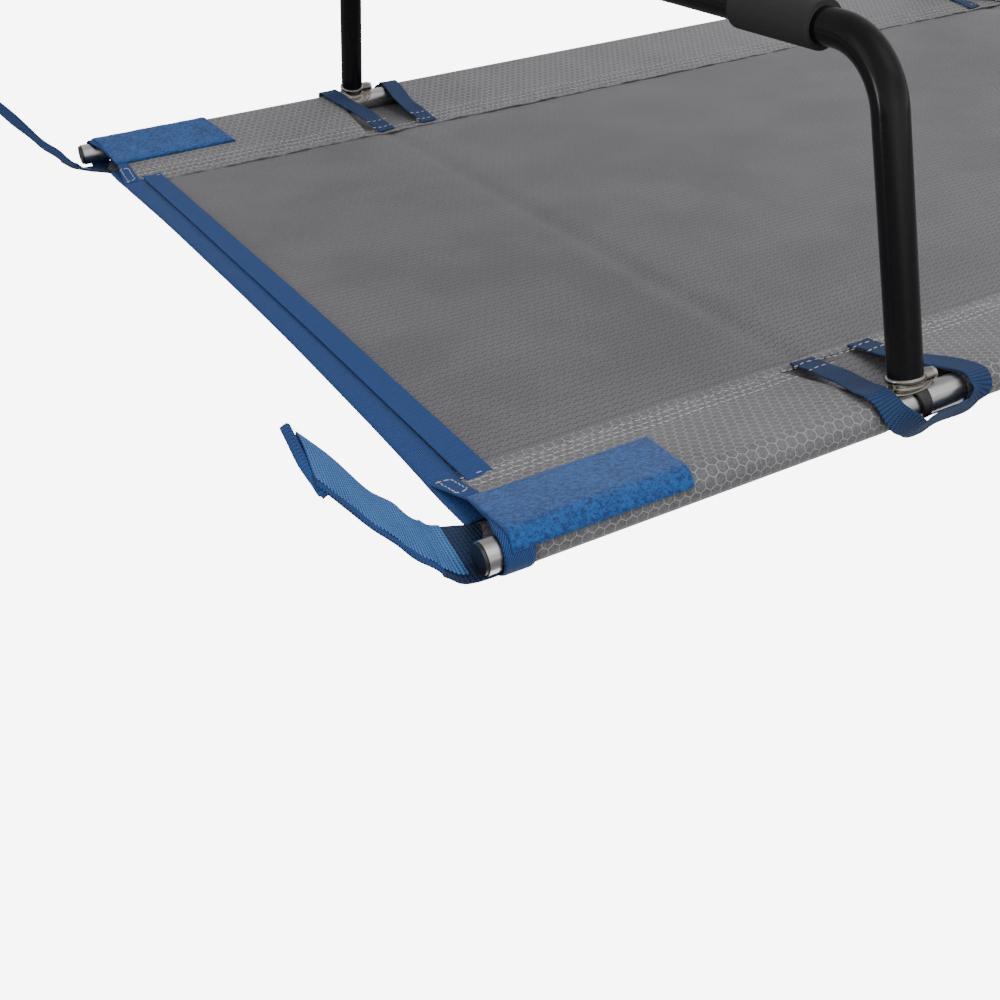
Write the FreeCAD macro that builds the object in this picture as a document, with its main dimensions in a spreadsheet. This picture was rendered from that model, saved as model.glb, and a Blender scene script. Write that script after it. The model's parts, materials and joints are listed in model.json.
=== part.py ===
# Low folding camp cot: one fabric bed on two sectional side rails, held up by three
# U-shaped leg bows. Millimetres. +Z is up, X runs along the bed from the head (-X) to
# the foot (+X), Y runs across it. The origin is on the floor, under the middle of the bed.
import FreeCAD
import Part
import math
import os
import Sketcher

Vector = FreeCAD.Vector
Rotation = FreeCAD.Rotation
Placement = FreeCAD.Placement
Axis_X = Vector(1, 0, 0)
Axis_Y = Vector(0, 1, 0)
Axis_Z = Vector(0, 0, 1)

doc = FreeCAD.newDocument("camp_cot")
dims = doc.addObject("Spreadsheet::Sheet", "dims")

# ---------------------------------------------------------------- driving dimensions
DRIVING = [
    # side rails: round tube in three sections a side
    ("rail_length", 1900, "whole length of one side rail"),
    ("rail_od", 16, "outside diameter of the rail tube"),
    ("rail_bore", 13.6, "inside diameter of the rail tube"),
    ("rail_gauge", 690, "distance between the two rail axes"),
    ("rail_height", 181, "height of the rail axes above the floor"),
    ("rail_joint", 317, "distance of each section joint from the middle"),
    ("ferrule_od", 13.5, "outside diameter of the pegs in the section joints"),
    ("ferrule_bore", 11, "inside diameter of those pegs"),
    ("ferrule_length", 110, "length of those pegs"),
    ("plug_head_od", 14.6, "diameter of an end plug's flat head"),
    ("plug_head_depth", 1.6, "how far the head stands out of the tube"),
    ("plug_stem_depth", 20, "how far the stem goes into the tube"),
    # leg bows
    ("leg_od", 18, "outside diameter of the leg tube"),
    ("leg_bore", 15.6, "inside diameter of the leg tube"),
    ("leg_station", 707, "distance of the outer bows from the middle of the bed"),
    ("leg_lean", 13.5, "how far a leg leans in towards the middle, degrees"),
    ("leg_top_gap", 16, "from the rail axis to the top of the leg tube"),
    ("bend_radius", 40, "centreline radius of the bend at the floor"),
    ("floor_tube_height", 11.6, "height of the floor tube's axis"),
    ("leg_ferrule_od", 15.5, "outside diameter of the peg joining the two halves"),
    ("leg_ferrule_length", 120, "length of that peg"),
    ("grip_od", 24, "outside diameter of the rubber grips"),
    ("grip_length", 60, "length of a rubber grip"),
    ("grip_place", 232, "distance of a grip's middle from the bow's middle"),
    # fitting that holds a leg on its rail
    ("saddle_bore", 16.6, "diameter of the trough that seats on the rail"),
    ("saddle_od", 20.4, "outside diameter of the trough"),
    ("saddle_length", 32, "length of the trough along the rail"),
    ("saddle_wrap", 120, "part of the rail that the trough covers, degrees"),
    ("neck_od", 20.4, "diameter of the neck that the leg tube stands against"),
    ("neck_length", 7, "length of the neck"),
    ("cheek_od", 8, "diameter of the cross bar that carries the rivet"),
    ("cheek_length", 16, "length of that cross bar, on the side towards the middle"),
    ("rivet_tail", 10, "how far the rivet goes back into the neck, where it ends flush"),
    ("cheek_drop", 12, "from the rail axis to the cross bar's axis"),
    ("spigot_od", 15.4, "diameter of the peg that goes into the leg tube"),
    ("spigot_length", 26, "length of that peg below the neck"),
    ("hook_width", 6, "width of the latch hook's band"),
    ("hook_shift", 4, "how far the hook sits beside the leg, towards the middle"),
    ("hook_wrap", 95, "part of the rail that the hook covers, degrees"),
    ("rivet_od", 4, "diameter of the cross rivet's shank"),
    ("rivet_head_od", 7, "diameter of its head"),
    ("rivet_head", 2.2, "thickness of its head"),
    # bed fabric
    ("fabric_wall", 0.9, "thickness of the bed fabric"),
    ("sleeve_bore", 16.6, "diameter of the sleeve round the rail"),
    ("sleeve_reach", 75, "from the rail axis to the seam that closes the sleeve"),
    ("flap_slope", 12.63, "slope of the sleeve's lower layer, degrees"),
    ("sleeve_inset", 21.5, "from the rail's end to the sleeve's raw edge"),
    ("panel_inset", 13, "from the rail's end to the bed's end edge"),
    ("notch_length", 50, "length of a cut-out along the rail"),
    ("notch_shift", 4, "how far the outer cut-outs sit towards the middle"),
    # trims and straps
    ("trim_width", 15.4, "width of each of the two bands at the bed's end"),
    ("trim_wall", 1.2, "thickness of those bands"),
    ("trim_gap", 0.7, "slit between the two bands"),
    ("trim_half", 268, "half the length of the two bands"),
    ("mouth_inset", 6, "from the rail's end to the mouth binding"),
    ("mouth_length", 14.5, "length of the mouth binding along the rail"),
    ("mouth_od", 18.4, "outside diameter of the mouth binding"),
    ("pad_inset", 13, "from the rail's end to the loop pad"),
    ("pad_length", 98, "length of a loop pad"),
    ("pad_width", 42, "width of a loop pad"),
    ("pad_wall", 1.7, "thickness of a loop pad"),
    ("webbing_width", 15, "width of the webbing round a cut-out"),
    ("webbing_wall", 1.3, "thickness of that webbing"),
    ("lip_width", 17, "how far the webbing stands out past the rail axis"),
    ("strap_width", 38, "width of a corner strap"),
    ("strap_wall", 1.6, "thickness of a corner strap"),
    ("strap_centre", 17.5, "from the rail axis in to the middle of a strap"),
    ("strap_lift", 10.2, "height of a strap's root above the rail axis"),
    ("strap_out", 10, "from the rail's end out to the strap's first fold"),
    ("root_length", 38, "length of the sewn root"),
    ("fold_gap", 1.3, "from each fold line to the edge of the webbing beside it"),
    ("link_length", 23.7, "from the first fold to the second"),
    ("link_slope", 42, "slope of the link below level as stored, degrees"),
    ("tail_length", 70, "length of the tail beyond the second fold"),
    ("tail_slope", 56, "slope of the tail below level as stored, degrees"),
    ("tape_width", 33, "width of the hook tape"),
    ("tape_length", 62, "length of the hook tape"),
    ("tape_wall", 1.0, "thickness of the hook tape"),
]
for row, (alias, value, meaning) in enumerate(DRIVING, start=1):
    dims.set("A%d" % row, meaning)
    dims.set("B%d" % row, str(value))
    dims.setAlias("B%d" % row, alias)
doc.recompute()


def size(alias):
    """A driving dimension, read back from the sheet."""
    return float(getattr(dims, alias))


RAIL_Y = size("rail_gauge") / 2
RAIL_Z = size("rail_height")
RAIL_END = size("rail_length") / 2
LEAN = math.radians(size("leg_lean"))
SLOPE = math.radians(size("flap_slope"))
SLEEVE_OUT = size("sleeve_bore") / 2 + size("fabric_wall")
ALONG_X = Rotation(Axis_Y, 90)
ALONG_Y = Rotation(Axis_X, -90)
finished = []


# ---------------------------------------------------------------- helpers
def bind(obj, **formulas):
    """Ties each named property of obj to a formula on the sheet."""
    for name, formula in formulas.items():
        obj.setExpression(name, formula)
    return obj


def finish(obj, label):
    """Names a finished sub-part; the label is also its file name."""
    obj.Label = label
    finished.append(obj)
    return obj


def box(length, width, height, at, turn=Rotation()):
    """A block whose three sizes are sheet formulas."""
    obj = doc.addObject("Part::Box", "block")
    bind(obj, Length=length, Width=width, Height=height)
    obj.Placement = Placement(at, turn)
    return obj


def cylinder(diameter, height, at, turn=Rotation(), sweep="360"):
    """A round bar, or a wedge of one, whose sizes are sheet formulas."""
    obj = doc.addObject("Part::Cylinder", "bar")
    bind(obj, Radius="(%s) / 2" % diameter, Height=height, Angle=sweep)
    obj.Placement = Placement(at, turn)
    return obj


def cut(base, tool):
    obj = doc.addObject("Part::Cut", "cut")
    obj.Base = base
    obj.Tool = tool
    return obj


def fuse(shapes):
    obj = doc.addObject("Part::MultiFuse", "joined")
    obj.Shapes = shapes
    return obj


def group(shapes):
    """Separate, equal solids that share one node."""
    obj = doc.addObject("Part::Compound", "group")
    obj.Links = shapes
    return obj


def mirrored(source, normal):
    obj = doc.addObject("Part::Mirroring", "mirrored")
    obj.Source = source
    obj.Base = Vector(0, 0, 0)
    obj.Normal = normal
    return obj


def tube(outside, inside, height, at, turn=Rotation(), sweep="360"):
    """A tube, or a trough where sweep is less than a whole turn."""
    return cut(cylinder(outside, height, at, turn, sweep), cylinder(inside, height, at, turn))


def wedge_turn(start):
    """Lays a wedge along X; 0 degrees is straight down and 90 is +Y."""
    return ALONG_X.multiply(Rotation(Axis_Z, start))


def plane_of(body, role):
    return next(o for o in body.Origin.OriginFeatures if o.Role == role)


def sketch_on(body, role, name):
    sketch = body.newObject("Sketcher::SketchObject", name)
    sketch.AttachmentSupport = [(plane_of(body, role), "")]
    sketch.MapMode = "FlatFace"
    return sketch


def ring_profile(sketch, outside, inside):
    """Two circles round the sketch's origin, bound to two sheet diameters."""
    for number, alias in enumerate((outside, inside)):
        circle = Part.Circle(Vector(0, 0, 0), Axis_Z, size(alias) / 2)
        sketch.addGeometry(circle, False)
        sketch.addConstraint(Sketcher.Constraint("Coincident", number, 3, -1, 1))
        index = sketch.addConstraint(Sketcher.Constraint("Diameter", number, size(alias)))
        sketch.setExpression("Constraints[%d]" % index, "dims.%s" % alias)


# ---------------------------------------------------------------- side rails
def make_rail_section(label, side, start, length):
    """One tube of a side rail, padded from a ring; side is +1 on the left."""
    body = doc.addObject("PartDesign::Body", "rail")
    profile = sketch_on(body, "YZ_Plane", "ring")
    ring_profile(profile, "rail_od", "rail_bore")
    pad = body.newObject("PartDesign::Pad", "tube")
    pad.Profile = profile
    bind(pad, Length=length)
    body.Placement = Placement(Vector(start, side * RAIL_Y, RAIL_Z), Rotation())
    finish(body, label)


END_SECTION = "dims.rail_length / 2 - dims.rail_joint"
MIDDLE_SECTION = "2 * dims.rail_joint"
for side_name, side in (("left", 1), ("right", -1)):
    make_rail_section("rail_%s_head" % side_name, side, -RAIL_END, END_SECTION)
    make_rail_section("rail_%s_middle" % side_name, side, -size("rail_joint"), MIDDLE_SECTION)
    make_rail_section("rail_%s_foot" % side_name, side, size("rail_joint"), END_SECTION)

pegs = []
plugs = []
for side in (1, -1):
    for end in (1, -1):
        peg_start = end * size("rail_joint") - size("ferrule_length") / 2
        pegs.append(tube("dims.ferrule_od", "dims.ferrule_bore", "dims.ferrule_length",
                         Vector(peg_start, side * RAIL_Y, RAIL_Z), ALONG_X))
        mouth = Vector(end * RAIL_END, side * RAIL_Y, RAIL_Z)
        outward = Rotation(Axis_Y, 90 * end)
        inward = Rotation(Axis_Y, -90 * end)
        head = cylinder("dims.plug_head_od", "dims.plug_head_depth", mouth, outward)
        stem = cylinder("dims.rail_bore - 0.1", "dims.plug_stem_depth", mouth, inward)
        plugs.append(fuse([head, stem]))
finish(group(pegs), "rail_ferrules")
finish(group(plugs), "end_plugs")


# ---------------------------------------------------------------- bed fabric
PANEL_BOTTOM = RAIL_Z + size("sleeve_bore") / 2
panel_corner = Vector(-RAIL_END + size("panel_inset"), -RAIL_Y, PANEL_BOTTOM)
finish(box("dims.rail_length - 2 * dims.panel_inset", "dims.rail_gauge", "dims.fabric_wall",
           panel_corner), "sleeping_panel")

# Cut-outs, as (start, station) along X: each leg stands in its cut-out with room to slide.
SHIFT = size("notch_shift")
STATIONS = {"head": -size("leg_station"), "middle": 0.0, "foot": size("leg_station")}
NOTCH_MIDDLES = {
    "head": STATIONS["head"] + SHIFT,
    "middle": 0.0,
    "foot": STATIONS["foot"] - SHIFT,
}
NOTCH_STARTS = [middle - size("notch_length") / 2 for middle in NOTCH_MIDDLES.values()]
# Unit vectors of the sleeve's lower layer on the left side: across it and out of it.
FLAP_OUT = Vector(0, -math.sin(SLOPE), -math.cos(SLOPE))
LEFT_AXIS = Vector(0, RAIL_Y, RAIL_Z)
FLAP_TURN = Rotation(Axis_X, 180 - size("flap_slope"))


def wrap(start, length, inner, outer, reach):
    """Fabric round the left rail: over its outer side, then up to the seam.

    inner and outer are sheet formulas of the two diameters, and reach is the width
    of the flat layer.
    """
    at = LEFT_AXIS + Vector(start, 0, 0)
    half = tube(outer, inner, length, at, wedge_turn(-size("flap_slope")),
                "180 + dims.flap_slope")
    doc.recompute()
    inner_radius = half.Tool.Radius.Value
    layer = box(length, reach, "((%s) - (%s)) / 2" % (outer, inner),
                at + FLAP_OUT * inner_radius, FLAP_TURN)
    return fuse([half, layer])


def notch_tools():
    """Blocks that open the sleeve at the three legs."""
    tools = []
    for start in NOTCH_STARTS:
        corner = Vector(start, RAIL_Y - 1.2 * size("sleeve_reach"), RAIL_Z - 40)
        tools.append(box("dims.notch_length", "1.2 * dims.sleeve_reach + 40",
                         "40 + dims.sleeve_bore / 2 + 5", corner))
    return tools


SLEEVE_LENGTH = "dims.rail_length - 2 * dims.sleeve_inset"
SLEEVE_OD = "dims.sleeve_bore + 2 * dims.fabric_wall"
sleeve = cut(wrap(-RAIL_END + size("sleeve_inset"), SLEEVE_LENGTH, "dims.sleeve_bore",
                  SLEEVE_OD, "dims.sleeve_reach"), fuse(notch_tools()))
finish(sleeve, "sleeve_left")
finish(mirrored(sleeve, Axis_Y), "sleeve_right")

# Webbing round each cut-out: two side strips over the sleeve and one lip outside the rail.
WEB_INNER = SLEEVE_OD + " + 0.1"
WEB_OUTER = SLEEVE_OD + " + 0.1 + 2 * dims.webbing_wall"
loops = []
for start, tool in zip(NOTCH_STARTS, notch_tools()):
    strips = wrap(start - size("webbing_width"), "dims.notch_length + 2 * dims.webbing_width",
                  WEB_INNER, WEB_OUTER, "dims.sleeve_reach")
    lip_corner = Vector(start - size("webbing_width"), RAIL_Y + 0.2, RAIL_Z + SLEEVE_OUT + 0.6)
    lip = box("dims.notch_length + 2 * dims.webbing_width", "dims.lip_width",
              "dims.webbing_wall", lip_corner)
    loops.append(fuse([cut(strips, tool), lip]))
loop_group = group(loops)
finish(loop_group, "cutout_webbing_left")
finish(mirrored(loop_group, Axis_Y), "cutout_webbing_right")

# Two bands across each end of the bed: a folded binding on the edge, then flat webbing.
binding_at = Vector(-RAIL_END + size("panel_inset") - size("trim_wall"), -size("trim_half"),
                    PANEL_BOTTOM - size("trim_wall"))
binding_block = box("dims.trim_width + dims.trim_wall", "2 * dims.trim_half",
                    "dims.fabric_wall + 2 * dims.trim_wall", binding_at)
binding_slot = box("dims.trim_width + 1", "2 * dims.trim_half + 2", "dims.fabric_wall",
                   binding_at + Vector(size("trim_wall"), -1, size("trim_wall")))
binding = cut(binding_block, binding_slot)
webbing_at = binding_at + Vector(size("trim_wall") + size("trim_width") + size("trim_gap"), 0, 0)
webbing = box("dims.trim_width", "2 * dims.trim_half", "dims.trim_wall", webbing_at)
finish(binding, "head_edge_binding")
finish(webbing, "head_edge_webbing")
finish(mirrored(binding, Axis_X), "foot_edge_binding")
finish(mirrored(webbing, Axis_X), "foot_edge_webbing")

# Bound mouths of the sleeves, open towards the bed where the panel covers the rail.
mouth_at = LEFT_AXIS + Vector(-RAIL_END + size("mouth_inset"), 0, 0)
mouth = tube("dims.mouth_od", "dims.sleeve_bore", "dims.mouth_length", mouth_at,
             wedge_turn(-90), "270")
mouth_right = mirrored(mouth, Axis_Y)
finish(group([mouth, mouth_right, mirrored(mouth, Axis_X), mirrored(mouth_right, Axis_X)]),
       "mouth_bindings")


# ---------------------------------------------------------------- corner straps
def four_corners(source, name):
    """Finishes one head-left piece and its three mirror images."""
    right = mirrored(source, Axis_Y)
    finish(source, name + "_head_left")
    finish(right, name + "_head_right")
    finish(mirrored(source, Axis_X), name + "_foot_left")
    finish(mirrored(right, Axis_X), name + "_foot_right")


pad_at = LEFT_AXIS + FLAP_OUT * (SLEEVE_OUT + 0.05)
pad_at = pad_at + Vector(-RAIL_END + size("pad_inset"), 0, 0)
four_corners(box("dims.pad_length", "dims.pad_width", "dims.pad_wall", pad_at, FLAP_TURN),
             "loop_pad")

FOLD_A = Vector(-RAIL_END - size("strap_out"), RAIL_Y - size("strap_centre"),
                RAIL_Z + size("strap_lift"))


def down_slope(angle):
    """Unit vector that points out past the head end and down by angle degrees."""
    return Vector(-math.cos(math.radians(angle)), 0, -math.sin(math.radians(angle)))


def strip(length, width, wall, start, angle, lift):
    """A flat strip that starts on the line start and runs out and down.

    lift moves its middle layer towards the strip's inner, lower face.
    """
    # The box runs along its own X, so it is turned about Y until that X points down the slope.
    turn = Rotation(Axis_Y, 180 - angle)
    across = Vector(0, 1, 0)
    normal = turn.multVec(Axis_Z)
    box_width = size(width)
    box_wall = size(wall)
    corner = start - across * (box_width / 2) - normal * (box_wall / 2) + normal * lift
    return box(length, "dims." + width, "dims." + wall, corner, turn)


GAP = size("fold_gap")
FOLD_B = FOLD_A + down_slope(size("link_slope")) * size("link_length")
root = box("dims.root_length", "dims.strap_width", "dims.strap_wall",
           FOLD_A + Vector(GAP, -size("strap_width") / 2, -size("strap_wall") / 2))
four_corners(root, "strap_root")
four_corners(strip("dims.link_length - 2 * dims.fold_gap", "strap_width", "strap_wall",
                   FOLD_A + down_slope(size("link_slope")) * GAP, size("link_slope"), 0),
             "strap_link")
TAIL_DIRECTION = down_slope(size("tail_slope"))
four_corners(strip("dims.tail_length - dims.fold_gap", "strap_width", "strap_wall",
                   FOLD_B + TAIL_DIRECTION * GAP, size("tail_slope"), 0), "strap_tail")
tape_lift = (size("strap_wall") + size("tape_wall")) / 2
four_corners(strip("dims.tape_length", "tape_width", "tape_wall",
                   FOLD_B + TAIL_DIRECTION * (size("tail_length") - size("tape_length") - 3),
                   size("tail_slope"), tape_lift), "hook_tape")


# ---------------------------------------------------------------- leg bows
LEG_RUN = ("dims.rail_gauge / 2 - (dims.rail_height - dims.floor_tube_height)"
           " * tan(dims.leg_lean) - dims.bend_radius * tan((90 - dims.leg_lean) / 2)")
LEG_RISE = ("(dims.rail_height - dims.floor_tube_height) / cos(dims.leg_lean)"
            " - dims.leg_top_gap - dims.bend_radius * tan((90 - dims.leg_lean) / 2)")


def leg_spine(sketch):
    """Middle of the bow, one bend, then the leaning leg, as a dimensioned sketch."""
    bend = size("bend_radius")
    drop = RAIL_Z - size("floor_tube_height")
    setback = bend * math.tan((math.pi / 2 - LEAN) / 2)
    run = RAIL_Y - drop * math.tan(LEAN) - setback
    rise = drop / math.cos(LEAN) - size("leg_top_gap") - setback
    bend_end = Vector(run + bend * math.cos(LEAN), bend - bend * math.sin(LEAN), 0)
    leg_top = bend_end + Vector(math.sin(LEAN), math.cos(LEAN), 0) * rise
    centre = Vector(run, bend, 0)
    sketch.addGeometry(Part.LineSegment(Vector(0, 0, 0), Vector(run, 0, 0)), False)
    arc = Part.ArcOfCircle(Part.Circle(centre, Axis_Z, bend), -math.pi / 2, -LEAN)
    sketch.addGeometry(arc, False)
    sketch.addGeometry(Part.LineSegment(bend_end, leg_top), False)
    sketch.addConstraint(Sketcher.Constraint("Coincident", 0, 1, -1, 1))
    sketch.addConstraint(Sketcher.Constraint("Horizontal", 0))
    sketch.addConstraint(Sketcher.Constraint("Tangent", 0, 2, 1, 1))
    sketch.addConstraint(Sketcher.Constraint("Tangent", 1, 2, 2, 1))
    run_index = sketch.addConstraint(Sketcher.Constraint("Distance", 0, run))
    bend_index = sketch.addConstraint(Sketcher.Constraint("Radius", 1, bend))
    rise_index = sketch.addConstraint(Sketcher.Constraint("Distance", 2, rise))
    angle_index = sketch.addConstraint(Sketcher.Constraint("Angle", 2, math.pi / 2 - LEAN))
    sketch.setExpression("Constraints[%d]" % run_index, LEG_RUN)
    sketch.setExpression("Constraints[%d]" % bend_index, "dims.bend_radius")
    sketch.setExpression("Constraints[%d]" % rise_index, LEG_RISE)
    sketch.setExpression("Constraints[%d]" % angle_index, "90 - dims.leg_lean")


def make_leg_half(label, station, turn):
    """Half of a bow: a bent tube from the middle of the floor run up to the rail."""
    body = doc.addObject("PartDesign::Body", "leg")
    profile = sketch_on(body, "XZ_Plane", "ring")
    ring_profile(profile, "leg_od", "leg_bore")
    spine = sketch_on(body, "YZ_Plane", "spine")
    leg_spine(spine)
    pipe = body.newObject("PartDesign::AdditivePipe", "bent_tube")
    pipe.Profile = profile
    pipe.Spine = (spine, [])
    body.Placement = Placement(Vector(station, 0, size("floor_tube_height")),
                               Rotation(Axis_Z, turn))
    finish(body, label)


# The leg's own axis on the left side, from the rail down to the floor.
LEG_DOWN = Vector(0, -math.sin(LEAN), -math.cos(LEAN))
LEG_TURN = Rotation(Axis_Z, LEG_DOWN)
# Degrees round the rail, from level on its outer side; -90 is straight down.
SADDLE_START = -180
HOOK_START = -55


def rivet_place(station):
    """Middle of the cross bar and its rivet, in the neck's thick part."""
    return LEFT_AXIS + Vector(station, 0, 0) + LEG_DOWN * size("cheek_drop")


def across(station, near):
    """Start of a bar along X, near beyond the rivet's middle."""
    return rivet_place(station) + Vector(near, 0, 0)


def saddle_left(station):
    """Cast fitting: trough on the rail, neck, cross bar and a peg inside the leg."""
    at = LEFT_AXIS + Vector(station, 0, 0)
    ends = at - Vector(size("saddle_length") / 2, 0, 0)
    trough = cylinder("dims.saddle_od", "dims.saddle_length", ends,
                      wedge_turn(SADDLE_START + 90), "dims.saddle_wrap")
    neck_at = at + LEG_DOWN * (size("leg_top_gap") - size("neck_length"))
    neck = cylinder("dims.neck_od", "dims.neck_length", neck_at, LEG_TURN)
    spigot = cylinder("dims.spigot_od", "dims.spigot_length",
                      at + LEG_DOWN * size("leg_top_gap"), LEG_TURN)
    cheek = cylinder("dims.cheek_od", "dims.cheek_length + 6",
                     across(station, -6), ALONG_X)
    seat = cylinder("dims.saddle_bore", "2 * dims.saddle_length",
                    at - Vector(size("saddle_length"), 0, 0), ALONG_X)
    reach = size("cheek_length") * 2
    hole = cylinder("dims.rivet_od", "4 * dims.cheek_length",
                    across(station, -reach), ALONG_X)
    return cut(cut(fuse([trough, neck, cheek, spigot]), seat), hole)


def rivet_left(station):
    """Cross rivet with one round head; its other end is flush in the neck."""
    reach, tail = size("cheek_length"), size("rivet_tail")
    shank = cylinder("dims.rivet_od", "dims.cheek_length + dims.rivet_tail",
                     across(station, -tail), ALONG_X)
    head = cylinder("dims.rivet_head_od", "dims.rivet_head",
                    across(station, reach), ALONG_X)
    return fuse([shank, head])


def hook_left(station):
    """Latch band that closes round the rail's outer side."""
    inward = -1 if station > 0 else 1
    middle = station + inward * size("hook_shift")
    at = LEFT_AXIS + Vector(middle - size("hook_width") / 2, 0, 0)
    return tube("dims.saddle_od - 0.4", "dims.saddle_bore", "dims.hook_width", at,
                wedge_turn(HOOK_START + 90), "dims.hook_wrap")


def grip_left(station):
    """Rubber sleeve on the floor tube, with a flat where it stands."""
    start = Vector(station, size("grip_place") - size("grip_length") / 2,
                   size("floor_tube_height"))
    sleeve_solid = tube("dims.grip_od", "dims.leg_od + 0.1", "dims.grip_length", start, ALONG_Y)
    below = box("60", "dims.grip_length + 20", "20", start + Vector(-30, -10, 0)
                - Vector(0, 0, size("floor_tube_height") + 20))
    return cut(sleeve_solid, below)


def pair(left):
    return group([left, mirrored(left, Axis_Y)])


def facing_middle(make, station):
    """A fitting drawn for the head end, turned round where it stands at the foot end."""
    return make(station) if station <= 0 else mirrored(make(-station), Axis_X)


for name, station in STATIONS.items():
    make_leg_half(name + "_leg_left", station, 0)
    make_leg_half(name + "_leg_right", station, 180)
    peg_at = Vector(station, -size("leg_ferrule_length") / 2, size("floor_tube_height"))
    finish(cylinder("dims.leg_ferrule_od", "dims.leg_ferrule_length", peg_at, ALONG_Y),
           name + "_leg_ferrule")
    finish(pair(facing_middle(saddle_left, station)), name + "_rail_saddles")
    finish(pair(hook_left(station)), name + "_latch_hooks")
    finish(pair(facing_middle(rivet_left, station)), name + "_neck_rivets")
    finish(pair(grip_left(station)), name + "_floor_grips")


# ---------------------------------------------------------------- checks and files
doc.recompute()
for obj in doc.Objects:
    if "Invalid" in obj.State or "Error" in obj.State:
        raise RuntimeError("%s failed: %s" % (obj.Label, obj.State))
for obj in finished:
    if obj.Shape.isNull() or not obj.Shape.isValid() or not obj.Shape.Solids:
        raise RuntimeError("%s has no sound shape" % obj.Label)

os.makedirs("parts", exist_ok=True)
for obj in finished:
    obj.Shape.exportStep("parts/%s.step" % obj.Label)
    bounds = obj.Shape.BoundBox
    print("%-24s %2d solids %9.0f mm3  x %7.1f..%7.1f  y %6.1f..%6.1f  z %5.1f..%5.1f" % (
        obj.Label, len(obj.Shape.Solids), obj.Shape.Volume, bounds.XMin, bounds.XMax,
        bounds.YMin, bounds.YMax, bounds.ZMin, bounds.ZMax))
print(len(finished), "sub-parts")
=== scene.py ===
# %% [markdown]
# # A low folding camp cot
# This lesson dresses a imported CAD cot: a taut cloth bed on two side rails, three leg bows,
# and a hook-and-loop strap at each corner. The CAD model is the fixed frame. Hard parts
# keep their CAD shape and get better finishes. Cloth, webbing, stitches and the cast
# fittings are built again here, because a plain solid can't show how they are made.

# %% Load the frame
import json
import math

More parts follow.
